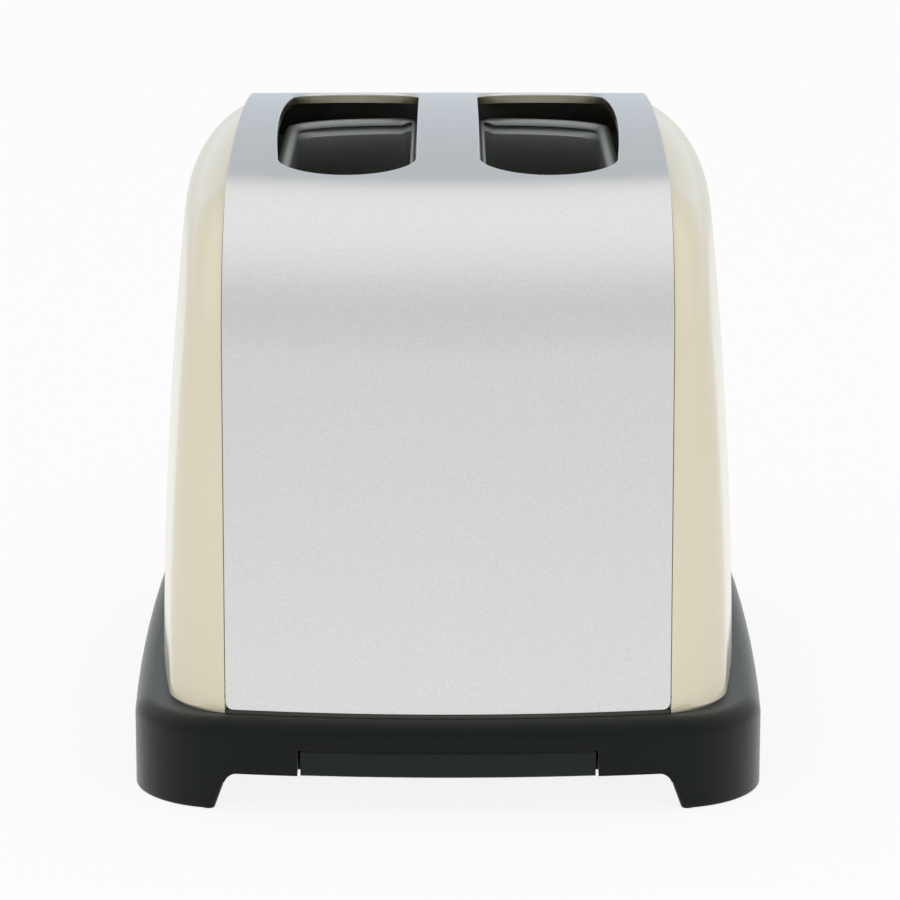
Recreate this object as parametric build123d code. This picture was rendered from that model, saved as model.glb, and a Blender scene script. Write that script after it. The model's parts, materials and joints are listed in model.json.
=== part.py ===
from build123d import *
import functools
import math
import os

# A two-slot pop up toaster, in millimetres. X is the width, Y the length, +Z is up.
# The plain end faces -Y and the control end faces +Y. The table is at Z = 0.

# Outer skin: a loaf with bowed, leaning ends and crowned sides
BODY_TOP = 189.4
END_REACH = 135.9
END_BOW = 400.0
END_DRAFT = 2.0
TOP_ARCH = 725.0
SHOULDER_ROUND = 49.7
SIDE_REACH = 91.7
SIDE_LEAN = 1.0
SIDE_CROWN = 1550.0
SIDE_BOW = 856.0
EDGE_ROUND = 25.3
BAND_HALF_WIDTH = 66.5
BAND_SHEET = 0.8
PANEL_WALL = 2.4
PANEL_SEAM = 0.5
PANEL_LIP = 7.0
LIP_WALL = 1.5
LIP_CLEARANCE = 0.3
LIP_RISE = 3.0
PANEL_BEVEL = 1.2

# Bread slots in the top
SLOT_CENTRE = 31.9
SLOT_WIDTH = 44.2
SLOT_LENGTH = 172.0
SLOT_OUTER_BOW = 2.0
SLOT_RIM_DEPTH = 3.4

# Base moulding, its legs and pads
BASE_LOW = 11.5
BASE_SEAT = 28.0
BASE_END_STEP = 5.1
BASE_SIDE_STEP = 6.1
BASE_END_BOW = 440.0
BASE_SIDE_BOW = 2300.0
BASE_CORNER = 30.0
BASE_WALL = 2.8
BASE_FLOOR = 2.5
BASE_RIM = 2.4
BASE_TOP_ROUND = 5.5
SKIN_GAP = 0.2
BAND_GAP = 1.8
UPSTAND_HEIGHT = 6.0
UPSTAND_WALL = 2.0
UPSTAND_CLEARANCE = 0.5
LEG_WIDTH = 27.8
LEG_LENGTH = 36.0
LEG_FLARE = 5.0
LEG_LIFT = 0.2
LEG_ROUND = 0.8
LEG_CORNER = 1.5
PAD_RADIUS = 7.0
PAD_HEIGHT = 1.8
PAD_CLEARANCE = 0.2
PAD_INSET_X = 16.3
PAD_INSET_Y = 24.0
VENT_COUNT = 6
VENT_PITCH = 14.0
VENT_WIDTH = 5.0
VENT_LENGTH = 22.0
VENT_X = 70.0
VENT_FIRST_Y = -45.0

# Crumb tray
TRAY_LIP_HALF_WIDTH = 44.0
TRAY_LIP_GAP = 0.9
TRAY_LIP_LOW = 11.5
TRAY_LIP_TOP = 19.2
TRAY_LIP_DEPTH = 6.0
TRAY_LIP_ROUND = 0.8
TRAY_HALF_WIDTH = 43.6
TRAY_SHEET = 0.8
TRAY_WALL_TOP = 18.9
TRAY_GAP = 0.3
TRAY_FAR_END = 80.0
RUNNER_WIDTH = 2.4
NOTCH_DEPTH = 9.0

# Chassis plates and heater parts
PLATE_Y = 82.5
PLATE_SHEET = 1.0
PLATE_HALF_WIDTH = 61.0
PLATE_LOW = 23.0
PLATE_TOP = 170.0
PLATE_FOOT_X = 48.5
PLATE_FLANGE = 12.0
CARD_SHEET = 0.8
CARD_INNER_X = 6.6
CARD_OUTER_X = 57.0
CARD_LOW = 44.0
CARD_TOP = 160.0
RIBBON_WIDTH = 1.4
RIBBON_SHEET = 0.3
RIBBON_RUNS = 12
RIBBON_HALF_LENGTH = 76.0
RIBBON_MARGIN = 8.0
REFLECTOR_SHEET = 0.5
LINER_HALF_OPENING = 19.1
LINER_SHEET = 0.7
LINER_LOW = 150.0
LINER_TOP = 176.0
LINER_ROLL = 2.4
LINER_CORNER = 5.0

# Bread guards
GUARD_OFFSET = 18.2
GUARD_PIVOT_Z = 47.0
GUARD_HEIGHT = 99.0
GUARD_WIRE = 0.8
GUARD_ROD = 1.2
GUARD_WIRES = 7
GUARD_PITCH = 24.0
PIVOT_CLEARANCE = 0.3

# Carriage, racks and lever at their raised rest
CARRIAGE_TRAVEL = 70.0
CARRIAGE_Y = 88.0
CARRIAGE_SHEET = 1.5
CARRIAGE_HALF_WIDTH = 42.0
CARRIAGE_LOW = 112.0
CARRIAGE_TOP = 150.0
RACK_TOP = 122.0
RACK_SHEET = 1.2
RACK_WIDTH = 14.0
RACK_NEAR_END = -78.0
RACK_TAB = 12.0
RACK_HOLES = 6
RACK_SLOT_CLEARANCE = 2.5
TAB_INNER_X = 29.0
TAB_DEPTH = 13.0
ROD_X = 20.0
ROD_Y = 96.0
ROD_RADIUS = 2.5
ROD_OVERRUN = 1.5
BUSH_RADIUS = 5.0
BUSH_CLEARANCE = 0.3
BUSH_LOW = 122.0
BRACKET_Z = 158.0
BRACKET_DEPTH = 20.0
BRACKET_HALF_WIDTH = 44.0
BRACKET_CLEARANCE = 0.3
BOSS_HALF = 5.0
BOSS_HEIGHT = 8.0
SPRING_RADIUS = 3.6
SPRING_WIRE = 0.7
SPRING_WIRE_SIDES = 4
SPRING_TURNS = 8
SPRING_SEAT_GAP = 0.3
LEVER_Z = 142.0
LEVER_SHEET = 2.0
LEVER_DEEP = 8.0
LEVER_SLOT_CLEARANCE = 2.0
KNOB_WIDTH = 46.0
KNOB_HEIGHT = 15.0
KNOB_DEPTH = 15.0
KNOB_ROUND = 5.0
KNOB_STAND_OFF = 2.2
KNOB_POCKET = 9.0
THUMB_RADIUS = 34.0
THUMB_HOLLOW = 1.6
POCKET_CLEARANCE = 0.1
KEEPER_SIZE = 14.0
KEEPER_SHEET = 2.0
KEEPER_GAP = 0.3
CORE_RADIUS = 4.0
COIL_RADIUS = 8.5
COIL_GAP = 0.2
CORE_PLATE = 3.0

# Board and controls on the control end
BOARD_Y = 112.0
BOARD_SHEET = 1.6
BOARD_HALF_WIDTH = 56.0
BOARD_LOW = 16.0
BOARD_TOP = 92.0
BOARD_NOTCH_Z = 60.0
BOARD_NOTCH_HALF = 7.0
BOARD_CLEARANCE = 0.2
RIB_X = 46.0
RIB_WIDTH = 12.0
RIB_WALL = 3.0
RIB_HEIGHT = 7.0
CONTROL_Z = 48.0
DIAL_RADIUS = 13.0
DIAL_DEPTH = 13.0
DIAL_STAND_OFF = 1.6
DIAL_CHAMFER = 1.5
FLUTE_COUNT = 18
FLUTE_RADIUS = 1.3
FLUTE_DEPTH = 0.6
POINTER_HALF = 0.7
SHAFT_RADIUS = 3.0
SHAFT_CLEARANCE = 0.2
SHAFT_HOLE_CLEARANCE = 1.0
POT_SIZE = 16.0
POT_DEPTH = 7.5
BUTTON_XS = (-52.0, -34.0, 34.0, 52.0)
BUTTON_NAMES = ("cancel_button", "reheat_button", "defrost_button", "bagel_button")
BUTTON_RADIUS = 6.0
BUTTON_PROUD = 3.2
BUTTON_CHAMFER = 0.7
BUTTON_TRAVEL = 2.0
BUTTON_STEM = 4.0
BUTTON_FLANGE = 7.0
BUTTON_FLANGE_Y = 129.0
BUTTON_FLANGE_SHEET = 0.8
BUTTON_CLEARANCE = 0.3
BUTTON_STEM_LENGTH = 11.0
GUIDE_DEPTH = 5.0
GUIDE_GAP = 0.5
GUIDE_HALF_WIDTH = 60.0
GUIDE_HALF_HEIGHT = 8.0
GUIDE_POST_XS = (-43.0, -22.0, 22.0, 43.0)
GUIDE_POST_HALF = 2.5
SWITCH_SIZE = 6.0
SWITCH_DEPTH = 2.0
RELAY_SIZE = (20.0, 15.0, 17.0)
RELAY_X = -44.0
RELAY_LOW = 22.0
CONTACTS_SIZE = (8.0, 10.0, 16.0)
CONTACTS_X = 51.0
CONTACTS_LOW = 60.0

# Supply entry and fasteners
TERMINAL_X = 55.0
TERMINAL_Y = 58.0
TERMINAL_SIZE = (14.0, 24.0, 11.0)
CORD_INSET = 27.8
CORD_Y = 88.0
CORD_RADIUS = 3.6
CORD_BUSH_WALL = 1.6
CORD_BUSH_FLANGE = 2.4
CORD_BUSH_SHEET = 1.2
SCREW_RADIUS = 1.5
SCREW_CLEARANCE = 0.2
SCREW_HEAD_RADIUS = 3.2
SCREW_HEAD = 1.3
PLATE_SCREW_LENGTH = 7.0
PANEL_SCREW_INSET = 15.7
PANEL_SCREW_Y = 62.0
PANEL_SCREW_BITE = 8.0
PANEL_BOSS = 12.0
PANEL_BOSS_HEIGHT = 12.0
COLUMN_HALF = 5.0

# Worked-out places
SKIN_LOW = BASE_SEAT + SKIN_GAP
BAND_LOW = BASE_SEAT + BAND_GAP
LIP_LOW = BAND_LOW + LIP_RISE
FLOOR_TOP = BASE_LOW + BASE_FLOOR
BASE_HALF_LENGTH = END_REACH + BASE_END_STEP
BASE_HALF_WIDTH = SIDE_REACH + BASE_SIDE_STEP
PANEL_SCREW_X = SIDE_REACH - PANEL_SCREW_INSET
CORD_X = BASE_HALF_WIDTH - CORD_INSET
CUT_UNDER = 8.0
CUT_OVER = 20.0
CUT_LOW = SKIN_LOW - CUT_UNDER
CUT_HIGH = BODY_TOP + CUT_OVER
FAR = 400.0
SIDES = (-1, 1)
BRACKET_FAR = PLATE_Y + PLATE_SHEET + BRACKET_DEPTH
CARRIAGE_BACK = CARRIAGE_Y + CARRIAGE_SHEET
BOARD_FRONT = BOARD_Y + BOARD_SHEET
KEEPER_LOW = CARRIAGE_LOW - KEEPER_SHEET
CORE_TOP = KEEPER_LOW - CARRIAGE_TRAVEL - KEEPER_GAP
TAB_X = (TAB_INNER_X + CARRIAGE_HALF_WIDTH) / 2
TAB_Y = CARRIAGE_BACK + TAB_DEPTH / 2


def block(x, y, z):
    """A box between two limits on each axis."""
    size = [b - a for a, b in (x, y, z)]
    centre = [(a + b) / 2 for a, b in (x, y, z)]
    return Pos(*centre) * Box(*size)


def post(x, y, low, high, radius):
    """An upright round bar."""
    return Pos(x, y, (low + high) / 2) * Cylinder(radius, high - low)


def square_post(x, y, low, high, half):
    """An upright square bar."""
    return block((x - half, x + half), (y - half, y + half), (low, high))


def rod_along_y(x, z, near, far, radius):
    """A round bar that runs along the length."""
    return Pos(x, (near + far) / 2, z) * Rot(90, 0, 0) * Cylinder(radius, far - near)


def end_face(x, z, inset=0.0):
    """How far the end face stands from the middle at this width and height."""
    lean = (z - SKIN_LOW) * math.tan(math.radians(END_DRAFT))
    radius = END_BOW - inset - lean
    return END_REACH - END_BOW + math.sqrt(radius**2 - x**2)


@functools.cache
def arched_ends(inset, low=CUT_LOW):
    """The bowed ends and the arched top, flat across the width, moved inwards by the inset and cut at low."""
    lean = math.tan(math.radians(END_DRAFT))
    foot_radius = END_BOW - inset + (SKIN_LOW - low) * lean
    head_radius = END_BOW - inset - (CUT_HIGH - SKIN_LOW) * lean
    slope = [(foot_radius, 0, low), (head_radius, 0, CUT_HIGH)]
    cone_side = Polyline((0, 0, low), *slope, (0, 0, CUT_HIGH), close=True)
    cone = revolve(make_face(cone_side), Axis.Z)
    bow_centre = END_REACH - END_BOW
    ends = Pos(0, bow_centre, 0) * cone & Pos(0, -bow_centre, 0) * cone
    ends = ends & block((-SIDE_REACH - CUT_OVER, SIDE_REACH + CUT_OVER), (-FAR, FAR), (low, CUT_HIGH))
    ends = ends & Pos(0, 0, BODY_TOP - TOP_ARCH) * Rot(0, 90, 0) * Cylinder(TOP_ARCH - inset, FAR)
    across = ends.edges().filter_by(lambda e: e.bounding_box().size.X > SIDE_REACH)
    shoulders = across.filter_by(lambda e: e.center().Z > LINER_LOW)
    return fillet(shoulders, SHOULDER_ROUND - inset)


@functools.cache
def skin(inset, low=CUT_LOW):
    """The whole loaf with its sides and round corners, moved inwards by the inset and cut at low."""
    lean_angle = math.radians(SIDE_LEAN)
    crown_x = SIDE_REACH - SIDE_CROWN * math.cos(lean_angle)
    crown_z = SKIN_LOW - SIDE_CROWN * math.sin(lean_angle)

    def on_crown(z):
        return (crown_x + math.sqrt((SIDE_CROWN - inset) ** 2 - (z - crown_z) ** 2), 0, z)

    axis_x = SIDE_REACH - SIDE_BOW
    crown = ThreePointArc(on_crown(low), on_crown((low + CUT_HIGH) / 2), on_crown(CUT_HIGH))
    back = Polyline(on_crown(CUT_HIGH), (axis_x, 0, CUT_HIGH), (axis_x, 0, low), on_crown(low))
    side = revolve(make_face([crown, back]), Axis((axis_x, 0, 0), (0, 0, 1)))
    loaf = arched_ends(inset, low) & side & mirror(side, Plane.YZ)
    corners = loaf.edges().filter_by(
        lambda e: abs(e.center().X) > BAND_HALF_WIDTH - EDGE_ROUND and e.bounding_box().max.Z > low + 1
        and e.bounding_box().size.X < EDGE_ROUND
    )
    return fillet(corners, EDGE_ROUND - inset)


def base_outline(inset, low, high):
    """The base's plan, bowed on all four sides with round corners, between two heights."""
    height = high - low
    ends = Cylinder(BASE_END_BOW - inset, height)
    sides = Cylinder(BASE_SIDE_BOW - inset, height)
    end_centre = BASE_HALF_LENGTH - BASE_END_BOW
    side_centre = BASE_HALF_WIDTH - BASE_SIDE_BOW
    plan = Pos(0, end_centre, 0) * ends & Pos(0, -end_centre, 0) * ends
    plan = plan & Pos(side_centre, 0, 0) * sides & Pos(-side_centre, 0, 0) * sides
    plan = fillet(plan.edges().filter_by(Axis.Z), BASE_CORNER - inset)
    return Pos(0, 0, (low + high) / 2) * plan


def slot_outline(grow=0.0):
    """The plan of the slot on the +X side: straight inside, round ends, outer side bowed a little."""
    half = SLOT_LENGTH / 2 + grow
    inner = SLOT_CENTRE - SLOT_WIDTH / 2 - grow
    outer = SLOT_CENTRE + SLOT_WIDTH / 2 + grow
    straight = SLOT_LENGTH / 2 - SLOT_WIDTH / 2
    shoulder = outer - SLOT_OUTER_BOW
    apex = (inner + shoulder) / 2
    edges = [
        Line((inner, -straight), (inner, straight)),
        ThreePointArc((inner, straight), (apex, half), (shoulder, straight)),
        ThreePointArc((shoulder, straight), (outer, 0), (shoulder, -straight)),
        ThreePointArc((shoulder, -straight), (apex, -half), (inner, -straight)),
    ]
    return make_face(edges)


def on_both_sides(shape):
    """The shape and its mirror image across the middle of the width."""
    return [shape, mirror(shape, Plane.YZ)]


def wrap_band():
    """The silver sheet: end, top and end in one piece, with its slots and control holes."""
    strip = block((-BAND_HALF_WIDTH, BAND_HALF_WIDTH), (-FAR, FAR), (BAND_LOW, CUT_HIGH))
    outer = arched_ends(0) & strip
    lift = Pos(0, 0, LINER_TOP)
    slot = lift * extrude(slot_outline(), BODY_TOP)
    rim = (lift * extrude(slot_outline(BAND_SHEET), BODY_TOP) & outer) - [slot, arched_ends(SLOT_RIM_DEPTH)]
    half = LEVER_SHEET / 2 + LEVER_SLOT_CLEARANCE
    top = LEVER_Z + LEVER_DEEP / 2 + LEVER_SLOT_CLEARANCE
    foot = LEVER_Z - LEVER_DEEP / 2 - CARRIAGE_TRAVEL - LEVER_SLOT_CLEARANCE
    holes = on_both_sides(slot)
    holes.append(block((-half, half), (BOARD_FRONT, FAR), (foot, top)))
    holes.append(rod_along_y(0, CONTROL_Z, BOARD_FRONT, FAR, SHAFT_RADIUS + SHAFT_HOLE_CLEARANCE))
    for x in BUTTON_XS:
        holes.append(rod_along_y(x, CONTROL_Z, BOARD_FRONT, FAR, BUTTON_RADIUS + BUTTON_CLEARANCE))
    return outer - [arched_ends(BAND_SHEET), *holes] + on_both_sides(rim)


def side_panel():
    """The right-hand panel: a shell whose edge lip tucks behind the wrap sheet."""
    seam = BAND_HALF_WIDTH + PANEL_SEAM
    shell = skin(0) & block((seam, FAR), (-FAR, FAR), (SKIN_LOW, CUT_HIGH))
    foot = shell.faces().filter_by(Plane.XY).sort_by(Axis.Z)[0]
    shell = chamfer(foot.edges().filter_by(lambda e: e.center().X > seam + 1), PANEL_BEVEL)
    shell = shell - skin(PANEL_WALL)
    behind = BAND_SHEET + LIP_CLEARANCE
    lip_field = block((seam - PANEL_LIP, seam + PANEL_LIP), (-FAR, FAR), (LIP_LOW, CUT_HIGH))
    lip_hollow = skin(PANEL_WALL) & arched_ends(behind + LIP_WALL)
    additions = [(skin(PANEL_BEVEL) & arched_ends(behind) & lip_field) - lip_hollow]
    screw_holes = []
    half = PANEL_BOSS / 2
    hole_top = SKIN_LOW + PANEL_SCREW_BITE + 1
    for y in (-PANEL_SCREW_Y, PANEL_SCREW_Y):
        boss_z = (SKIN_LOW, SKIN_LOW + PANEL_BOSS_HEIGHT)
        boss = block((PANEL_SCREW_X - half, FAR), (y - half, y + half), boss_z)
        additions.append(boss & skin(PANEL_BEVEL))
        screw_holes.append(post(PANEL_SCREW_X, y, CUT_LOW, hole_top, SCREW_RADIUS + SCREW_CLEARANCE))
    return shell + additions - screw_holes


def leg():
    """The +X +Y corner leg: outside flush with the base wall, inside faces leaning out to the foot."""
    reach_x = BASE_HALF_WIDTH + LEG_FLARE
    reach_y = BASE_HALF_LENGTH + LEG_FLARE

    def plan(flare, z):
        width = LEG_WIDTH + LEG_FLARE + flare
        length = LEG_LENGTH + LEG_FLARE + flare
        return Pos(reach_x - width / 2, reach_y - length / 2, z) * Rectangle(width, length)

    def leans(edge):
        size = edge.bounding_box().size
        return size.Z > LEG_LIFT and max(size.X, size.Y) > LEG_LIFT

    wedge = loft([plan(0, LEG_LIFT), plan(LEG_FLARE, FLOOR_TOP)]) & base_outline(0, LEG_LIFT, FLOOR_TOP)
    wedge = fillet(wedge.edges().filter_by(leans), LEG_CORNER)
    wedge = fillet(wedge.faces().sort_by(Axis.Z)[0].edges(), LEG_ROUND)
    return wedge - post(*pad_place(), 0, PAD_HEIGHT, PAD_RADIUS + PAD_CLEARANCE)


def pad_place():
    """The middle of the foot pad in the +X +Y leg."""
    return BASE_HALF_WIDTH - PAD_INSET_X, BASE_HALF_LENGTH - PAD_INSET_Y


def foot_pads():
    """Four soft pads let into the legs."""
    x, y = pad_place()
    pads = []
    for sx in SIDES:
        for sy in SIDES:
            pads.append(post(sx * x, sy * y, 0, PAD_HEIGHT, PAD_RADIUS))
    return pads[0] + pads[1:]


def base():
    """The black base: skirt, floor, rim that carries the skin, runners, bosses and legs."""
    body = base_outline(0, BASE_LOW, BASE_SEAT)
    body = fillet(body.faces().sort_by(Axis.Z)[-1].edges(), BASE_TOP_ROUND)
    upstand_outer = PANEL_WALL + UPSTAND_CLEARANCE
    well = skin(upstand_outer + UPSTAND_WALL, FLOOR_TOP)
    body = body - [base_outline(BASE_WALL, FLOOR_TOP, BASE_SEAT - BASE_RIM), well]
    slab = block((-FAR, FAR), (-FAR, FAR), (BASE_SEAT - BASE_RIM, BASE_SEAT + UPSTAND_HEIGHT))
    half = PANEL_BOSS / 2 + UPSTAND_CLEARANCE
    boss_room = []
    for sx in SIDES:
        for sy in SIDES:
            x = sorted((sx * (PANEL_SCREW_X - half), sx * FAR))
            y = sy * PANEL_SCREW_Y
            boss_room.append(block(x, (y - half, y + half), (BASE_SEAT, CUT_HIGH)))
    upstand = (skin(upstand_outer, FLOOR_TOP) & slab) - [well, *boss_room]
    corner = leg()
    legs = on_both_sides(corner) + on_both_sides(mirror(corner, Plane.XZ))
    return body + [upstand, *legs, *base_furniture()] - base_holes()


def base_furniture():
    """Runners, rod bosses, board ribs and screw columns on the base floor."""
    inner = TRAY_HALF_WIDTH + TRAY_GAP
    outer = inner + RUNNER_WIDTH
    start = -BASE_HALF_LENGTH + NOTCH_DEPTH + RUNNER_WIDTH
    stop = TRAY_FAR_END + TRAY_GAP
    rib_y = (BOARD_Y - RIB_WALL, BOARD_FRONT + RIB_WALL)
    pieces = [block((-outer, outer), (stop, stop + RUNNER_WIDTH), (FLOOR_TOP, TRAY_WALL_TOP))]
    for sx in SIDES:
        pieces.append(block(sorted((sx * inner, sx * outer)), (start, stop), (FLOOR_TOP, TRAY_WALL_TOP)))
        boss_top = FLOOR_TOP + BOSS_HEIGHT
        pieces.append(square_post(sx * ROD_X, ROD_Y, FLOOR_TOP, boss_top, BOSS_HALF))
        rib_x = (sx * RIB_X - RIB_WIDTH / 2, sx * RIB_X + RIB_WIDTH / 2)
        pieces.append(block(rib_x, rib_y, (FLOOR_TOP, FLOOR_TOP + RIB_HEIGHT)))
        for sy in SIDES:
            x, y = sx * PANEL_SCREW_X, sy * PANEL_SCREW_Y
            pieces.append(square_post(x, y, FLOOR_TOP, BASE_SEAT, COLUMN_HALF))
    return pieces


def base_holes():
    """The tray notch, holes for rods, board, screws and cord, and the vents in the floor."""
    notch = TRAY_LIP_HALF_WIDTH + TRAY_LIP_GAP
    notch_end = -BASE_HALF_LENGTH + NOTCH_DEPTH
    board_y = (BOARD_Y - BOARD_CLEARANCE, BOARD_FRONT + BOARD_CLEARANCE)
    board_half = BOARD_HALF_WIDTH + BOARD_CLEARANCE
    shank = SCREW_RADIUS + SCREW_CLEARANCE
    head = SCREW_HEAD_RADIUS + SCREW_CLEARANCE
    cuts = [
        block((-notch, notch), (-FAR, notch_end), (0, TRAY_LIP_TOP + TRAY_GAP)),
        block((-board_half, board_half), board_y, (BOARD_LOW, BASE_SEAT)),
        post(CORD_X, CORD_Y, 0, FLOOR_TOP + 1, CORD_RADIUS + CORD_BUSH_WALL + PAD_CLEARANCE),
    ]
    for sx in SIDES:
        cuts.append(post(sx * ROD_X, ROD_Y, FLOOR_TOP, BASE_SEAT, ROD_RADIUS + BRACKET_CLEARANCE / 2))
        for sy in SIDES:
            for x, y in ((sx * PANEL_SCREW_X, sy * PANEL_SCREW_Y), plate_screw_place(sx, sy)):
                cuts.append(post(x, y, 0, BASE_SEAT + 1, shank))
                cuts.append(post(x, y, 0, BASE_LOW + SCREW_HEAD, head))
        for row in range(VENT_COUNT):
            place = Pos(sx * VENT_X, VENT_FIRST_Y + row * VENT_PITCH, 0)
            cuts.append(place * Box(VENT_LENGTH, VENT_WIDTH, 2 * FLOOR_TOP + 2))
    return cuts


def plate_screw_place(x_side, y_side):
    """Where a chassis plate is screwed to the floor."""
    x = (PLATE_FOOT_X + PLATE_HALF_WIDTH) / 2
    y = PLATE_Y + PLATE_SHEET + PLATE_FLANGE / 2
    return x_side * x, y_side * y


def crumb_tray():
    """A folded sheet pan that slides on the base floor."""
    low = FLOOR_TOP + TRAY_GAP
    near = -BASE_HALF_LENGTH + TRAY_LIP_DEPTH + TRAY_GAP
    pan = block((-TRAY_HALF_WIDTH, TRAY_HALF_WIDTH), (near, TRAY_FAR_END), (low, TRAY_WALL_TOP))
    hollow_x = (-TRAY_HALF_WIDTH + TRAY_SHEET, TRAY_HALF_WIDTH - TRAY_SHEET)
    hollow_y = (near + TRAY_SHEET, TRAY_FAR_END - TRAY_SHEET)
    return pan - block(hollow_x, hollow_y, (low + TRAY_SHEET, FAR))


def tray_lip():
    """The moulded lip on the tray, curved with the base wall, with rounded long edges."""
    near = -BASE_HALF_LENGTH + TRAY_LIP_DEPTH + TRAY_GAP
    half = TRAY_LIP_HALF_WIDTH
    field = block((-half, half), (-FAR, near), (TRAY_LIP_LOW, TRAY_LIP_TOP))
    lip = base_outline(0, TRAY_LIP_LOW, TRAY_LIP_TOP) & field
    front = lip.edges().filter_by(lambda e: e.center().Y < near - TRAY_LIP_DEPTH / 4)
    return fillet(front.filter_by(lambda e: e.bounding_box().size.X > half), TRAY_LIP_ROUND)


def chassis_plate():
    """An upright sheet plate on two feet with flanges, for the end at +Y."""
    far = PLATE_Y + PLATE_SHEET
    plate = block((-PLATE_HALF_WIDTH, PLATE_HALF_WIDTH), (PLATE_Y, far), (PLATE_LOW, PLATE_TOP))
    for sx in SIDES:
        foot_x = sorted((sx * PLATE_FOOT_X, sx * PLATE_HALF_WIDTH))
        plate = plate + block(foot_x, (PLATE_Y, far), (FLOOR_TOP, PLATE_LOW))
        plate = plate + block(foot_x, (PLATE_Y, far + PLATE_FLANGE), (FLOOR_TOP, FLOOR_TOP + PLATE_SHEET))
        x, y = plate_screw_place(sx, 1)
        plate = plate - post(x, y, 0, PLATE_LOW, SCREW_RADIUS + SCREW_CLEARANCE)
        for x in guard_places():
            plate = plate - rod_along_y(sx * x, GUARD_PIVOT_Z, 0, FAR, GUARD_ROD + PIVOT_CLEARANCE)
    return plate


def control_plate():
    """The control-end plate: slots for the racks and a folded bracket that holds the guide rods."""
    plate = chassis_plate()
    half = RACK_WIDTH / 2 + RACK_SLOT_CLEARANCE
    low = RACK_TOP - RACK_SHEET - CARRIAGE_TRAVEL - RACK_SLOT_CLEARANCE
    bracket_y = (PLATE_Y, BRACKET_FAR)
    bracket_z = (BRACKET_Z, BRACKET_Z + CARRIAGE_SHEET)
    plate = plate + block((-BRACKET_HALF_WIDTH, BRACKET_HALF_WIDTH), bracket_y, bracket_z)
    for sx in SIDES:
        slot_x = (sx * SLOT_CENTRE - half, sx * SLOT_CENTRE + half)
        plate = plate - block(slot_x, (0, CARRIAGE_Y), (low, RACK_TOP + RACK_SLOT_CLEARANCE))
        plate = plate - post(sx * ROD_X, ROD_Y, LINER_LOW, CUT_HIGH, ROD_RADIUS + BRACKET_CLEARANCE / 2)
    return plate


def guard_places():
    """The two guards of the +X slot at rest: beside the inner and the outer heater card."""
    return SLOT_CENTRE - GUARD_OFFSET, SLOT_CENTRE + GUARD_OFFSET


def bread_guard(x):
    """Upright wires between a pivot rod and a top rod."""
    reach = PLATE_Y + PLATE_SHEET + PIVOT_CLEARANCE
    top = GUARD_PIVOT_Z + GUARD_HEIGHT
    guard = rod_along_y(x, GUARD_PIVOT_Z, -reach, reach, GUARD_ROD)
    half = GUARD_PITCH * (GUARD_WIRES - 1) / 2
    edge = half + GUARD_WIRE
    bar_z = (top - GUARD_ROD, top + GUARD_ROD)
    wires = [block((x - GUARD_ROD, x + GUARD_ROD), (-edge, edge), bar_z)]
    for k in range(GUARD_WIRES):
        wires.append(square_post(x, -half + k * GUARD_PITCH, GUARD_PIVOT_Z, top, GUARD_WIRE))
    return guard + wires


def heater_card(x):
    """A flat mica card held between the two chassis plates."""
    return block((x - CARD_SHEET / 2, x + CARD_SHEET / 2), (-PLATE_Y, PLATE_Y), (CARD_LOW, CARD_TOP))


def heater_ribbon(x, facing):
    """A flat resistance ribbon laid to and fro on the card's bread side."""
    near, far = sorted((x + facing * CARD_SHEET / 2, x + facing * (CARD_SHEET / 2 + RIBBON_SHEET)))
    first = CARD_LOW + RIBBON_MARGIN
    pitch = (CARD_TOP - CARD_LOW - 2 * RIBBON_MARGIN) / (RIBBON_RUNS - 1)
    half = RIBBON_WIDTH / 2
    strips = []
    for run in range(RIBBON_RUNS):
        z = first + run * pitch
        strips.append(block((near, far), (-RIBBON_HALF_LENGTH, RIBBON_HALF_LENGTH), (z - half, z + half)))
        if run < RIBBON_RUNS - 1:
            edge = RIBBON_HALF_LENGTH if run % 2 else -RIBBON_HALF_LENGTH
            inner = edge - math.copysign(RIBBON_WIDTH, edge)
            strips.append(block((near, far), sorted((edge, inner)), (z - half, z + pitch + half)))
    return strips[0] + strips[1:]


def slot_liner():
    """The sheet collar under the +X slot, with a rolled rim."""
    half = LINER_HALF_OPENING
    wall_half = half + LINER_SHEET
    rim_half = wall_half + LINER_ROLL
    reach = PLATE_Y
    hollow_reach = reach - LINER_SHEET
    rim_reach = reach + LINER_ROLL

    def ring(x_half, y_half, corner, low, high):
        plan = RectangleRounded(2 * x_half, 2 * y_half, corner)
        return Pos(SLOT_CENTRE, 0, low) * extrude(plan, high - low)

    collar = ring(wall_half, reach, LINER_CORNER + LINER_SHEET, LINER_LOW, LINER_TOP)
    rim_corner = LINER_CORNER + LINER_SHEET + LINER_ROLL
    collar = collar + ring(rim_half, rim_reach, rim_corner, LINER_TOP - LINER_ROLL, LINER_TOP)
    collar = collar - ring(half, hollow_reach, LINER_CORNER, LINER_LOW, LINER_TOP)
    crest = collar.faces().filter_by(Plane.XY).sort_by(Axis.Z)[-1]
    return chamfer(crest.edges(), LINER_ROLL / 3)


def reflector(x_side):
    """A bright sheet behind the outer heater card."""
    inner = CARD_OUTER_X + CARD_SHEET + LINER_ROLL / 2
    x = sorted((x_side * inner, x_side * (inner + REFLECTOR_SHEET)))
    return block(x, (-PLATE_Y, PLATE_Y), (CARD_LOW, PLATE_TOP))


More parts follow.
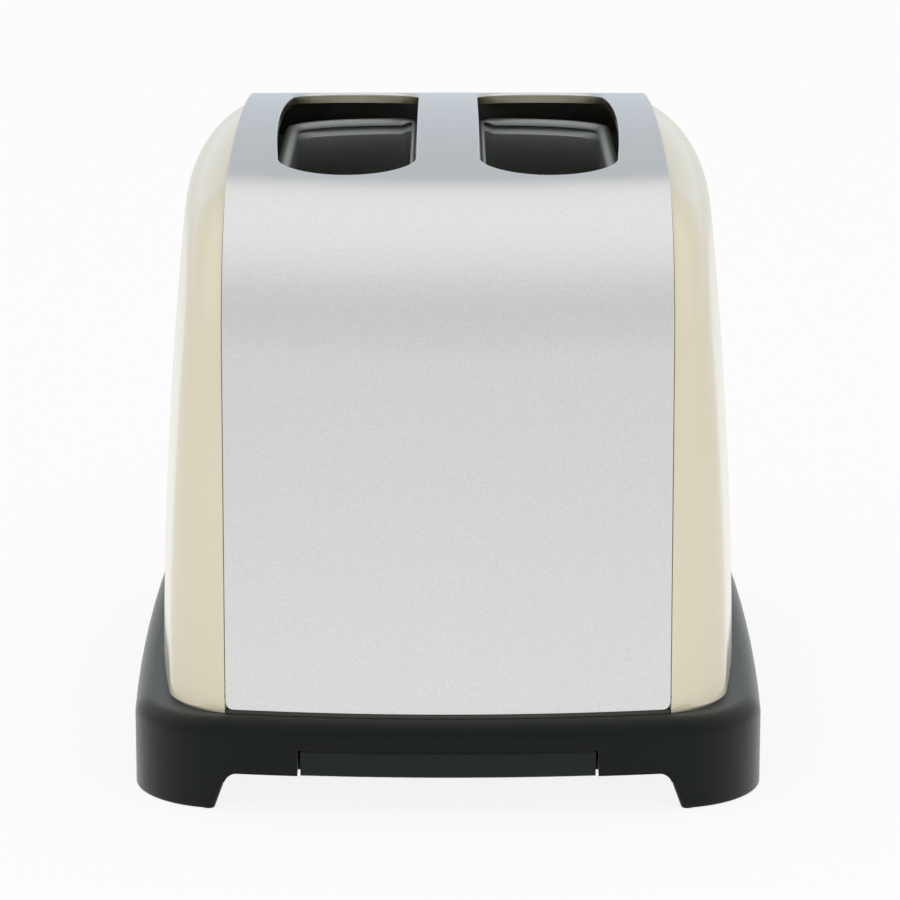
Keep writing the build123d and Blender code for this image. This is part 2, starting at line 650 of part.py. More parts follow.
def bread_rack(x_side):
    """The lifter under one slice: a flanged strip with drain holes and a tab on the carriage."""
    x = x_side * SLOT_CENTRE
    half = RACK_WIDTH / 2
    low = RACK_TOP - RACK_SHEET
    length = (RACK_NEAR_END, CARRIAGE_Y)
    rack = block((x - half, x + half), length, (low, RACK_TOP))
    tab_y = (CARRIAGE_Y - RACK_SHEET, CARRIAGE_Y)
    rack = rack + block((x - half, x + half), tab_y, (low, RACK_TOP + RACK_TAB))
    for edge in (x - half, x + half - RACK_SHEET):
        rack = rack + block((edge, edge + RACK_SHEET), length, (low, RACK_TOP + 2 * RACK_SHEET))
    pitch = (PLATE_Y - RACK_NEAR_END) / RACK_HOLES
    holes = []
    for k in range(RACK_HOLES):
        y = RACK_NEAR_END + (k + 0.5) * pitch
        holes.append(block((x - half / 2, x + half / 2), (y - pitch / 4, y + pitch / 4), (low, RACK_TOP)))
    return rack - holes


def carriage_plate():
    """The plate behind the control-end plate, with a spring tab and a keeper tab folded out."""
    half = CARRIAGE_HALF_WIDTH
    plate = block((-half, half), (CARRIAGE_Y, CARRIAGE_BACK), (CARRIAGE_LOW, CARRIAGE_TOP))
    for sx in SIDES:
        tab_x = sorted((sx * TAB_INNER_X, sx * CARRIAGE_HALF_WIDTH))
        tab_z = (CARRIAGE_LOW, CARRIAGE_LOW + CARRIAGE_SHEET)
        plate = plate + block(tab_x, (CARRIAGE_Y, CARRIAGE_BACK + TAB_DEPTH), tab_z)
    return plate


def carriage_bush(x_side):
    """A bush that runs on a guide rod and sits flat on the carriage plate."""
    x = x_side * ROD_X
    high = BRACKET_Z - BUSH_CLEARANCE
    bush = post(x, ROD_Y, BUSH_LOW, high, BUSH_RADIUS)
    pad = block((x - BUSH_RADIUS, x + BUSH_RADIUS), (CARRIAGE_BACK, ROD_Y), (BUSH_LOW, CARRIAGE_TOP))
    return bush + pad - post(x, ROD_Y, BUSH_LOW, high, ROD_RADIUS + BUSH_CLEARANCE)


def return_spring():
    """The carriage's return spring, one wire wound between its tab and the rod bracket."""
    low = CARRIAGE_LOW + CARRIAGE_SHEET + SPRING_SEAT_GAP + SPRING_WIRE
    high = BRACKET_Z - SPRING_SEAT_GAP - SPRING_WIRE
    pitch = (high - low) / SPRING_TURNS
    self_gap = pitch - 2 * SPRING_WIRE
    print(f"return_spring least gap to itself {self_gap:.2f} mm")
    path = Helix(pitch, high - low, SPRING_RADIUS)
    section = Plane(origin=path @ 0, z_dir=path % 0) * RegularPolygon(SPRING_WIRE, SPRING_WIRE_SIDES)
    return Pos(-TAB_X, TAB_Y, low) * sweep(section, path, is_frenet=True)


def lever_arm():
    """A flat arm from the carriage through the slot in the wrap sheet into the knob."""
    half = LEVER_SHEET / 2
    return block(
        (-half, half),
        (CARRIAGE_BACK, knob_back() + KNOB_POCKET),
        (LEVER_Z - LEVER_DEEP / 2, LEVER_Z + LEVER_DEEP / 2),
    )


def knob_back():
    """The knob's back face, clear of the wrap sheet at the bottom of its travel."""
    return end_face(0, LEVER_Z - CARRIAGE_TRAVEL) + KNOB_STAND_OFF


def lever_knob():
    """A rounded paddle with a thumb hollow on top and a pocket for the arm."""
    face = Rot(90, 0, 0) * RectangleRounded(KNOB_WIDTH, KNOB_HEIGHT, KNOB_ROUND)
    knob = Pos(0, knob_back(), LEVER_Z) * extrude(face, KNOB_DEPTH, dir=(0, 1, 0))
    knob = chamfer(knob.faces().sort_by(Axis.Y)[-1].edges(), KNOB_ROUND / 3)
    thumb_z = LEVER_Z + KNOB_HEIGHT / 2 + THUMB_RADIUS - THUMB_HOLLOW
    thumb = rod_along_y(0, thumb_z, knob_back(), FAR, THUMB_RADIUS)
    half_x = LEVER_SHEET / 2 + POCKET_CLEARANCE
    half_z = LEVER_DEEP / 2 + POCKET_CLEARANCE
    pocket_y = (knob_back(), knob_back() + KNOB_POCKET + POCKET_CLEARANCE)
    return knob - [thumb, block((-half_x, half_x), pocket_y, (LEVER_Z - half_z, LEVER_Z + half_z))]


def latch_keeper():
    """The steel plate under the carriage that the magnet holds."""
    half = KEEPER_SIZE / 2
    keeper_y = (TAB_Y - half + CARRIAGE_SHEET, TAB_Y + half)
    return block((TAB_X - half, TAB_X + half), keeper_y, (KEEPER_LOW, CARRIAGE_LOW))


def magnet_core():
    """A round core on a foot plate with a side pole."""
    half = KEEPER_SIZE / 2
    side_y = TAB_Y + COIL_RADIUS + COIL_GAP
    core = post(TAB_X, TAB_Y, FLOOR_TOP, CORE_TOP, CORE_RADIUS)
    foot_x = (TAB_X - half, TAB_X + half)
    foot_z = (FLOOR_TOP, FLOOR_TOP + CORE_PLATE)
    core = core + block(foot_x, (TAB_Y - half, side_y + CORE_PLATE), foot_z)
    pole_z = (FLOOR_TOP, CORE_TOP - KEEPER_GAP)
    return core + block(foot_x, (side_y, side_y + CORE_PLATE), pole_z)


def magnet_coil():
    """The coil former and winding round the core."""
    low = FLOOR_TOP + CORE_PLATE + COIL_GAP
    high = CORE_TOP - CORE_PLATE
    coil = post(TAB_X, TAB_Y, low, high, COIL_RADIUS)
    return coil - post(TAB_X, TAB_Y, low, high, CORE_RADIUS + COIL_GAP)


def guide_rod(x_side):
    """A rod from the base boss up through the bracket."""
    return post(x_side * ROD_X, ROD_Y, FLOOR_TOP, BRACKET_Z + CARRIAGE_SHEET + ROD_OVERRUN, ROD_RADIUS)


def circuit_board():
    """An upright board with a notch that lets the lever arm pass."""
    board = block((-BOARD_HALF_WIDTH, BOARD_HALF_WIDTH), (BOARD_Y, BOARD_FRONT), (BOARD_LOW, BOARD_TOP))
    return board - block((-BOARD_NOTCH_HALF, BOARD_NOTCH_HALF), (0, FAR), (BOARD_NOTCH_Z, FAR))


def board_block(x, size, low):
    """A component on the board's inner face."""
    width, depth, height = size
    return block((x - width / 2, x + width / 2), (BOARD_Y - depth, BOARD_Y), (low, low + height))


def potentiometer():
    """The square body behind the dial."""
    half = POT_SIZE / 2
    return block((-half, half), (BOARD_FRONT, BOARD_FRONT + POT_DEPTH), (CONTROL_Z - half, CONTROL_Z + half))


def dial_back():
    """The dial's back face, just off the wrap sheet."""
    return end_face(0, CONTROL_Z - DIAL_RADIUS) + DIAL_STAND_OFF


def dial_shaft():
    """The shaft that turns with the dial."""
    near = BOARD_FRONT + POT_DEPTH + SHAFT_CLEARANCE
    return rod_along_y(0, CONTROL_Z, near, dial_back() + DIAL_DEPTH / 2, SHAFT_RADIUS)


def browning_dial():
    """A round knob with a fluted grip and a raised pointer."""
    back = dial_back()
    front = back + DIAL_DEPTH
    dial = rod_along_y(0, CONTROL_Z, back, front, DIAL_RADIUS)
    dial = chamfer(dial.faces().sort_by(Axis.Y)[-1].edges(), DIAL_CHAMFER)
    pointer_z = (CONTROL_Z, CONTROL_Z + DIAL_RADIUS - DIAL_CHAMFER)
    pointer = block((-POINTER_HALF, POINTER_HALF), (front, front + POINTER_HALF), pointer_z)
    bore_end = back + DIAL_DEPTH / 2 + SHAFT_CLEARANCE
    bore = rod_along_y(0, CONTROL_Z, back, bore_end, SHAFT_RADIUS + SHAFT_CLEARANCE)
    flute_reach = DIAL_RADIUS + FLUTE_RADIUS - FLUTE_DEPTH
    flutes = []
    for k in range(FLUTE_COUNT):
        turn = math.tau * (k + 0.5) / FLUTE_COUNT
        x = flute_reach * math.sin(turn)
        z = CONTROL_Z + flute_reach * math.cos(turn)
        flutes.append(rod_along_y(x, z, back, front, FLUTE_RADIUS))
    return dial - [bore, *flutes] + pointer


def push_button(x):
    """A round cap with a stop flange behind the sheet and a stem in the guide."""
    front = end_face(x, CONTROL_Z) + BUTTON_PROUD
    flange_far = BUTTON_FLANGE_Y + BUTTON_FLANGE_SHEET
    cap = rod_along_y(x, CONTROL_Z, BUTTON_FLANGE_Y, front, BUTTON_RADIUS)
    cap = chamfer(cap.faces().sort_by(Axis.Y)[-1].edges(), BUTTON_CHAMFER)
    cap = cap + rod_along_y(x, CONTROL_Z, BUTTON_FLANGE_Y, flange_far, BUTTON_FLANGE)
    return cap + rod_along_y(x, CONTROL_Z, BUTTON_FLANGE_Y - BUTTON_STEM_LENGTH, BUTTON_FLANGE_Y, BUTTON_STEM)


def button_guide():
    """The moulded bar behind the sheet that carries the buttons, on posts from the board."""
    far = BUTTON_FLANGE_Y - BUTTON_TRAVEL - GUIDE_GAP
    low, high = CONTROL_Z - GUIDE_HALF_HEIGHT, CONTROL_Z + GUIDE_HALF_HEIGHT
    bar = block((-GUIDE_HALF_WIDTH, GUIDE_HALF_WIDTH), (far - GUIDE_DEPTH, far), (low, high))
    for x in GUIDE_POST_XS:
        leg_x = (x - GUIDE_POST_HALF, x + GUIDE_POST_HALF)
        leg_z = (CONTROL_Z - GUIDE_POST_HALF, CONTROL_Z + GUIDE_POST_HALF)
        bar = bar + block(leg_x, (BOARD_FRONT, far - GUIDE_DEPTH), leg_z)
    for x in BUTTON_XS:
        bar = bar - rod_along_y(x, CONTROL_Z, 0, FAR, BUTTON_STEM + BUTTON_CLEARANCE)
    return bar - rod_along_y(0, CONTROL_Z, 0, FAR, SHAFT_RADIUS + SHAFT_HOLE_CLEARANCE)


def button_switches():
    """Four flat switches on the board, one behind each button."""
    half = SWITCH_SIZE / 2
    switches = []
    for x in BUTTON_XS:
        face_z = (CONTROL_Z - half, CONTROL_Z + half)
        switches.append(block((x - half, x + half), (BOARD_FRONT, BOARD_FRONT + SWITCH_DEPTH), face_z))
    return switches[0] + switches[1:]


def cord_bush():
    """The flanged bush in the base floor where the supply enters."""
    outer = CORD_RADIUS + CORD_BUSH_WALL
    bush = post(CORD_X, CORD_Y, BASE_LOW, FLOOR_TOP + CORD_BUSH_SHEET, outer)
    bush = bush + post(CORD_X, CORD_Y, FLOOR_TOP, FLOOR_TOP + CORD_BUSH_SHEET, outer + CORD_BUSH_FLANGE)
    bush = bush + post(CORD_X, CORD_Y, BASE_LOW - CORD_BUSH_SHEET, BASE_LOW, outer + CORD_BUSH_FLANGE)
    return bush - post(CORD_X, CORD_Y, 0, BASE_SEAT, CORD_RADIUS)


def terminal_block():
    """The block where the supply is wired, with two screw wells."""
    width, length, height = TERMINAL_SIZE
    x = (TERMINAL_X - width / 2, TERMINAL_X + width / 2)
    y = (TERMINAL_Y - length / 2, TERMINAL_Y + length / 2)
    body = block(x, y, (FLOOR_TOP, FLOOR_TOP + height))
    for side in SIDES:
        well_y = TERMINAL_Y + side * length / 4
        body = body - post(TERMINAL_X, well_y, FLOOR_TOP + height / 2, BASE_SEAT, SCREW_HEAD_RADIUS)
    return body


def screw(x, y, length):
    """A pan-head screw driven up from under the floor."""
    seat = BASE_LOW + SCREW_HEAD
    return post(x, y, seat, seat + length, SCREW_RADIUS) + post(x, y, BASE_LOW, seat, SCREW_HEAD_RADIUS)


def plate_screws():
    """Four screws that hold the chassis plates."""
    screws = [screw(*plate_screw_place(sx, sy), PLATE_SCREW_LENGTH) for sx in SIDES for sy in SIDES]
    return screws[0] + screws[1:]


def panel_screws():
    """Four longer screws that hold the side panels."""
    length = SKIN_LOW + PANEL_SCREW_BITE - BASE_LOW - SCREW_HEAD
    places = [(sx * PANEL_SCREW_X, sy * PANEL_SCREW_Y) for sx in SIDES for sy in SIDES]
    screws = [screw(x, y, length) for x, y in places]
    return screws[0] + screws[1:]


def build():
    """Every piece by name."""
    right = side_panel()
    pieces = {
        "wrap_band": wrap_band(),
        "side_panel_right": right,
        "side_panel_left": mirror(right, Plane.YZ),
        "base": base(),
        "foot_pads": foot_pads(),
        "crumb_tray": crumb_tray(),
        "crumb_tray_lip": tray_lip(),
        "rear_end_plate": mirror(chassis_plate(), Plane.XZ),
        "control_end_plate": control_plate(),
        "carriage_plate": carriage_plate(),
        "return_spring": return_spring(),
        "lever_arm": lever_arm(),
        "lever_knob": lever_knob(),
        "latch_keeper": latch_keeper(),
        "magnet_core": magnet_core(),
        "magnet_coil": magnet_coil(),
        "circuit_board": circuit_board(),
        "power_relay": board_block(RELAY_X, RELAY_SIZE, RELAY_LOW),
        "switch_contacts": board_block(CONTACTS_X, CONTACTS_SIZE, CONTACTS_LOW),
        "potentiometer": potentiometer(),
        "dial_shaft": dial_shaft(),
        "browning_dial": browning_dial(),
        "button_guide": button_guide(),
        "button_switches": button_switches(),
        "cord_bush": cord_bush(),
        "terminal_block": terminal_block(),
        "plate_screws": plate_screws(),
        "panel_screws": panel_screws(),
    }
    for name, x in zip(BUTTON_NAMES, BUTTON_XS):
        pieces[name] = push_button(x)
    liner = slot_liner()
    for side, sign in (("left", -1), ("right", 1)):
        pieces[f"slot_liner_{side}"] = liner if sign > 0 else mirror(liner, Plane.YZ)
        pieces[f"reflector_{side}"] = reflector(sign)
        pieces[f"bread_rack_{side}"] = bread_rack(sign)
        pieces[f"carriage_bush_{side}"] = carriage_bush(sign)
        pieces[f"guide_rod_{side}"] = guide_rod(sign)
        for place, card_x, guard_x, facing in (
            ("inner", CARD_INNER_X, guard_places()[0], 1),
            ("outer", CARD_OUTER_X, guard_places()[1], -1),
        ):
            pieces[f"heater_card_{side}_{place}"] = heater_card(sign * card_x)
            pieces[f"heater_ribbon_{side}_{place}"] = heater_ribbon(sign * card_x, sign * facing)
            pieces[f"bread_guard_{side}_{place}"] = bread_guard(sign * guard_x)
    return pieces


def main():
    """Set the origin under the middle of the overall box and write one file per piece."""
    lever_tip = knob_back() + KNOB_DEPTH
    shift = (lever_tip - BASE_HALF_LENGTH) / 2
    os.makedirs("parts", exist_ok=True)
    for name, piece in build().items():
        export_step(Pos(0, -shift, 0) * piece, f"parts/{name}.step")


main()
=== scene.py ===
"""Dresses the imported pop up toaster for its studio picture.

The shells are surfaces worked out with numpy from the same few sizes as the solids, in millimetres
from the middle of the body, and every finish is made of nodes.
"""

import json
import logging
import math
from collections.abc import Callable, Sequence
from dataclasses import dataclass, field
from enum import Enum

import bmesh
import bpy
import numpy as np
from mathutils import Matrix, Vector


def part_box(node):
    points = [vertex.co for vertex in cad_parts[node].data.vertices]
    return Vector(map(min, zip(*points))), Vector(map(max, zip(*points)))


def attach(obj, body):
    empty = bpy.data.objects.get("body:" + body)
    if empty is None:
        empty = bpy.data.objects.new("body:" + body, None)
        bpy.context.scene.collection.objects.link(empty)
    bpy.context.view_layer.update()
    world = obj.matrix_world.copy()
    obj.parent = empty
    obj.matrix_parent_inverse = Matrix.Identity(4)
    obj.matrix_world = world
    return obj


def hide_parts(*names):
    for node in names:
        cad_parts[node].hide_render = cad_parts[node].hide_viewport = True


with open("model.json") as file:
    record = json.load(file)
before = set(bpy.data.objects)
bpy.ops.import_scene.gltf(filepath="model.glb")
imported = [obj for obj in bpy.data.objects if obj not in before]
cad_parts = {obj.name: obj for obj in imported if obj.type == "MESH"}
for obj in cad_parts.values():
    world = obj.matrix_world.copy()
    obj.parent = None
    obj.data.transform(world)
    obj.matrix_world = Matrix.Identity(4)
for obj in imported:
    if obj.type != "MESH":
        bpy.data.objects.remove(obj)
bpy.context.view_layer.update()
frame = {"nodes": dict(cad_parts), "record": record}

LOG = logging.getLogger("toaster")
MM = 0.001
MERGE_REACH = 2e-6

Array = np.ndarray
Pair = tuple[float, float]
Triple = tuple[float, float, float]
Field = tuple[Array, Array]
Shape = Callable[[Array], Field]
Rays = Callable[[Array], tuple[Array, Array]]
Material = bpy.types.Material
Socket = bpy.types.NodeSocket


def body_middle() -> float:
    """Where the middle of the wrap sheet lies along Y, in metres."""
    low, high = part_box("wrap_band")
    return (low.y + high.y) / 2


BODY_Y = body_middle()


class Body(Enum):
    """The bodies that new pieces ride on."""

    CHASSIS = "chassis"
    DIAL = "browning_knob"


# Surfaces and meshes


@dataclass
class Surface:
    """Points in millimetres from the body's middle, and the faces between them.

    Attributes:
        points: one row of X, Y, Z per point.
        quads: four point numbers per face.
        tris: three point numbers per face, used where a grid closes on a pole.
    """

    points: Array
    quads: Array
    tris: Array = field(default_factory=lambda: np.zeros((0, 3), int))

    def flipped(self) -> "Surface":
        """The same surface seen from its other side."""
        return Surface(self.points, self.quads[:, ::-1], self.tris[:, ::-1])

    def trimmed(self) -> "Surface":
        """The same surface without the points that none of its faces use.

        Returns:
            The surface with its points numbered anew.
        """
        used, number = np.unique(np.concatenate([self.quads.ravel(), self.tris.ravel()]), return_inverse=True)
        split = self.quads.size
        return Surface(self.points[used], number[:split].reshape(-1, 4), number[split:].reshape(-1, 3))

    def mirrored(self, axis: int = 0) -> "Surface":
        """The surface's mirror image across the body's middle, by default across its width."""
        return Surface(self.points * np.where(np.arange(3) == axis, -1.0, 1.0), self.quads, self.tris).flipped()

    def facing(self, outward: Array) -> "Surface":
        """The surface turned so that its faces agree with a direction at each point.

        Args:
            outward: one direction per point.

        Returns:
            This surface, or the same one flipped.
        """
        corners = self.points[self.quads]
        normals = np.cross(corners[:, 2] - corners[:, 0], corners[:, 3] - corners[:, 1])
        agree = np.einsum("ij,ij->i", normals, outward[self.quads[:, 0]])
        return self if np.median(agree) >= 0 else self.flipped()


def joined(surfaces: Sequence[Surface]) -> Surface:
    """Several surfaces as one, with their point numbers shifted to follow each other."""
    starts = np.cumsum([0] + [len(s.points) for s in surfaces[:-1]])
    return Surface(
        np.concatenate([s.points for s in surfaces]),
        np.concatenate([s.quads + start for s, start in zip(surfaces, starts)]),
        np.concatenate([s.tris + start for s, start in zip(surfaces, starts)]),
    )


def coords(*values: Array | float) -> Array:
    """One row per point from its coordinates, each an array or one number for all."""
    return np.stack(np.broadcast_arrays(*values), axis=1)


def grid_quads(rows: int, columns: int, closed: bool = False) -> Array:
    """The quads of a grid of points numbered row by row.

    Args:
        rows: how many rows of points there are.
        columns: how many points each row has.
        closed: whether the last column meets the first.

    Returns:
        Four point numbers per quad.
    """
    number = np.arange(rows * columns).reshape(rows, columns)
    if closed:
        number = np.concatenate([number, number[:, :1]], axis=1)
    near, far = number[:-1], number[1:]
    return np.stack([near[:, :-1], near[:, 1:], far[:, 1:], far[:, :-1]], axis=-1).reshape(-1, 4)


def stops(lines: Sequence[float], step: float) -> Array:
    """Values from the first line to the last, through every line, at most a step apart."""
    runs = [np.linspace(a, b, max(2, math.ceil((b - a) / step) + 1))[:-1] for a, b in zip(lines, lines[1:])]
    return np.concatenate([*runs, [lines[-1]]])


@dataclass(frozen=True)
class Build:
    """How a surface becomes a piece of the scene.

    Attributes:
        name: the piece's name.
        slot: the record's material slot of the piece; not used.
        stands_for: the CAD nodes that it replaces.
        wall: the sheet's thickness in millimetres, grown inwards, or nothing for a closed surface.
        edge: the width of the small round put on sharp edges, in millimetres.
        sharp: the angle in degrees past which an edge stays sharp.
        body: the body it rides on.
    """

    name: str
    slot: str
    stands_for: tuple[str, ...] = ()
    wall: float = 0.0
    edge: float = 0.0
    sharp: float = 35.0
    body: str = Body.CHASSIS.value

    def make(self, surface: Surface, material: Material) -> None:
        """Puts the surface into the scene as an object at the origin, riding on its body.

        Args:
            surface: the points and faces.
            material: the finish.
        """
        mesh = bpy.data.meshes.new(self.name)
        points = surface.points * MM + [0.0, BODY_Y, 0.0]
        mesh.from_pydata(points.tolist(), [], surface.quads.tolist() + surface.tris.tolist())
        merged = bmesh.new()
        merged.from_mesh(mesh)
        bmesh.ops.remove_doubles(merged, verts=merged.verts, dist=MERGE_REACH)
        merged.to_mesh(mesh)
        merged.free()
        mesh.polygons.foreach_set("use_smooth", np.ones(len(mesh.polygons), bool))
        mesh.set_sharp_from_angle(angle=math.radians(self.sharp))
        mesh.materials.append(material)
        piece = bpy.data.objects.new(self.name, mesh)
        bpy.context.scene.collection.objects.link(piece)
        if self.wall:
            solid = piece.modifiers.new("wall", "SOLIDIFY")
            solid.thickness = self.wall * MM
            solid.offset = -1.0
        if self.edge:
            bevel = piece.modifiers.new("edge", "BEVEL")
            bevel.width = self.edge * MM
            bevel.segments = 2
            bevel.limit_method = "ANGLE"
            bevel.angle_limit = math.radians(self.sharp)
            bevel.harden_normals = True
        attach(piece, self.body)
        if self.stands_for:
            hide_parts(*self.stands_for)
        LOG.info("%s: %d faces", self.name, len(mesh.polygons))


# The body's skin

GRID_REACH = 1e-6
LEAST_LENGTH = 1e-9
LEAST_SLOPE = 0.3
MEET_STEPS = 40
FLANGE_ROWS = 2


def rolled(first: Field, second: Field, radius: float) -> Field:
    """The distance to two walls joined by a rolled edge.

    With n and m the walls' normals, c = n.m and a, b the depths plus the radius, the ball that rolls
    along the edge lies at w = (a - cb) n + (b - ca) m over 1 - c^2 from the point, and the distance is
    |w| less the radius. Where one of the two weights is negative, the other wall alone counts.

    Args:
        first: the distance and normal of one wall at each point.
        second: those of the other wall.
        radius: the edge's radius.

    Returns:
        The distance and normal of the joined skin.
    """
    (depth_1, normal_1), (depth_2, normal_2) = first, second
    cosine = np.einsum("ij,ij->i", normal_1, normal_2)
    a, b = depth_1 + radius, depth_2 + radius
    spread = 1.0 - cosine**2
    weight_1, weight_2 = (a - cosine * b) / spread, (b - cosine * a) / spread
    ball = weight_1[:, None] * normal_1 + weight_2[:, None] * normal_2
    size = np.maximum(np.linalg.norm(ball, axis=1), LEAST_LENGTH)
    only_1 = (weight_2 <= 0) & ((weight_1 > 0) | (depth_1 > depth_2))
    only_2 = (weight_1 <= 0) & ~only_1
    depth = np.where(only_1, depth_1, np.where(only_2, depth_2, size - radius))
    normal = np.where(only_1[:, None], normal_1, np.where(only_2[:, None], normal_2, ball / size[:, None]))
    return depth, normal


@dataclass(frozen=True)
class Skin:
    """The loaf-shaped skin: bowed leaning ends, an arched top and crowned sides, with rolled edges.

    Every method takes points and gives the distance of each outside a wall, negative inside, and the
    wall's normal there.
    """

    foot: float = 28.2
    top: float = 189.4
    top_arch: float = 725.0
    end_reach: float = 135.9
    end_bow: float = 400.0
    end_draft: float = 2.0
    shoulder: float = 49.7
    side_reach: float = 91.7
    side_lean: float = 1.0
    side_crown: float = 1550.0
    side_bow: float = 856.0
    edge: float = 25.3

    def ends(self, p: Array) -> Field:
        """Both ends, as upright cones whose radius shrinks with height by the draft.

        Args:
            p: the points.

        Returns:
            The distance and the normal at each.
        """
        lean = math.radians(self.end_draft)
        reach = np.abs(p[:, 1]) + self.end_bow - self.end_reach
        spread = np.hypot(p[:, 0], reach)
        depth = (spread - self.end_bow + (p[:, 2] - self.foot) * math.tan(lean)) * math.cos(lean)
        flat = math.cos(lean) / spread
        return depth, coords(p[:, 0] * flat, np.sign(p[:, 1]) * reach * flat, math.sin(lean))

    def crest(self, p: Array) -> Field:
        """The top, as a cylinder lying across the width.

        Args:
            p: the points.

        Returns:
            The distance and the normal at each.
        """
        height = p[:, 2] - self.top + self.top_arch
        spread = np.hypot(p[:, 1], height)
        return spread - self.top_arch, coords(0.0, p[:, 1] / spread, height / spread)

    def sides(self, p: Array) -> Field:
        """Both sides, as a crowned arc turned about an upright axis far inside.

        Args:
            p: the points.

        Returns:
            The distance and the normal at each.
        """
        lean = math.radians(self.side_lean)
        out = np.abs(p[:, 0]) + self.side_bow - self.side_reach
        swing = np.hypot(out, p[:, 1])
        run = swing - self.side_bow + self.side_crown * math.cos(lean)
        rise = p[:, 2] - self.foot + self.side_crown * math.sin(lean)
        spread = np.hypot(run, rise)
        across = run / spread / swing
        normal = coords(np.sign(p[:, 0]) * out * across, p[:, 1] * across, rise / spread)
        return spread - self.side_crown, normal

    def wrap(self, p: Array) -> Field:
        """The ends and the top with their shoulders, straight across the width."""
        return rolled(self.ends(p), self.crest(p), self.shoulder)

    def whole(self, p: Array) -> Field:
        """The whole skin with its sides and round corners."""
        return rolled(self.wrap(p), self.sides(p), self.edge)


def meet(surface: Shape, start: Array, way: Array) -> Array:
    """Where rays from inside meet a surface, by Newton steps along each ray.

    Args:
        surface: gives the distance outside it and its normal at each point.
        start: where each ray starts.
        way: each ray's direction, of length one.

    Returns:
        One point per ray.
    """
    p = np.array(start, float)
    for _ in range(MEET_STEPS):
        depth, normal = surface(p)
        slope = np.maximum(np.einsum("ij,ij->i", normal, way), LEAST_SLOPE)
        p = p - (depth / slope)[:, None] * way
    return p


SKIN = Skin()


@dataclass(frozen=True)
class Hole:
    """An opening in a sheet.

    Attributes:
        cell: the rectangle of the sheet's grid that makes way for it: low and high u, low and high v.
        outline: its closed outline in u and v, anticlockwise.
        roll: the radius of its rounded lip.
        flange: how deep the lip is turned in below that round.
        lean: how far the flange's foot reaches into the opening at its ends along v.
        rows: how many rows of faces lie between the cell's border and the lip.
        turns: how many rows of faces go over the round.
    """

    cell: tuple[float, float, float, float]
    outline: Array
    roll: float = 0.0
    flange: float = 0.0
    lean: float = 0.0
    rows: int = 7
    turns: int = 5

    def ring(self, us: Array, vs: Array) -> tuple[Array, Array, Array]:
        """The grid between the cell's border and the lip, then over the round and down the flange.

        A border point and an outline point belong together if they lie at the same angle, measured
        with the cell stretched to a square. Row k goes from one to the other in equal steps.

        Args:
            us: the sheet's grid lines along u.
            vs: the sheet's grid lines along v.

        Returns:
            The points in u and v, how far each is sunk below the sheet, and the quads.
        """
        low_u, high_u, low_v, high_v = self.cell
        across = us[(us >= low_u - GRID_REACH) & (us <= high_u + GRID_REACH)]
        along = vs[(vs >= low_v - GRID_REACH) & (vs <= high_v + GRID_REACH)]
        border = np.concatenate([
            coords(across[:-1], low_v),
            coords(high_u, along[:-1]),
            coords(across[:0:-1], high_v),
            coords(low_u, along[:0:-1]),
        ])
        centre = (self.outline.min(0) + self.outline.max(0)) / 2
        half = np.array([high_u - low_u, high_v - low_v]) / 2

        def angle(points: Array) -> Array:
            """The angle of each point about the middle, in the stretched cell."""
            offset = (points - centre) / half
            return np.arctan2(offset[:, 1], offset[:, 0])

        outline = self.outline[np.argsort(angle(self.outline))]
        run = np.roll(outline, -1, axis=0) - np.roll(outline, 1, axis=0)
        outward = coords(run[:, 1], -run[:, 0]) / np.linalg.norm(run, axis=1)[:, None]
        table = np.concatenate([outline, outward], axis=1)
        turns = angle(outline)
        lip = coords(*(np.interp(angle(border), turns, column, period=2 * math.pi) for column in table.T))
        edge, away = lip[:, :2], lip[:, 2:]
        share = np.linspace(0.0, 1.0, self.rows + 1)[:, None, None]
        flat = border + share * (edge + self.roll * away - border)
        rows, sinks = [flat], [np.zeros(flat.shape[:2])]
        if self.roll:
            turn = np.linspace(0.0, math.pi / 2, self.turns + 1)[1:, None, None]
            rows.append(edge + self.roll * (1 - np.sin(turn)) * away)
            sinks.append(np.broadcast_to(self.roll * (1 - np.cos(turn[..., 0])), rows[-1].shape[:2]))
            down = np.linspace(0.0, 1.0, FLANGE_ROWS + 1)[1:, None]
            rows.append(edge - self.lean * down[..., None] * away * np.abs(away[:, 1:]))
            sinks.append(np.broadcast_to(self.roll + self.flange * down, rows[-1].shape[:2]))
        grid, sink = np.concatenate(rows), np.concatenate(sinks)
        return grid.reshape(-1, 2), sink.reshape(-1), grid_quads(len(grid), len(border), closed=True)


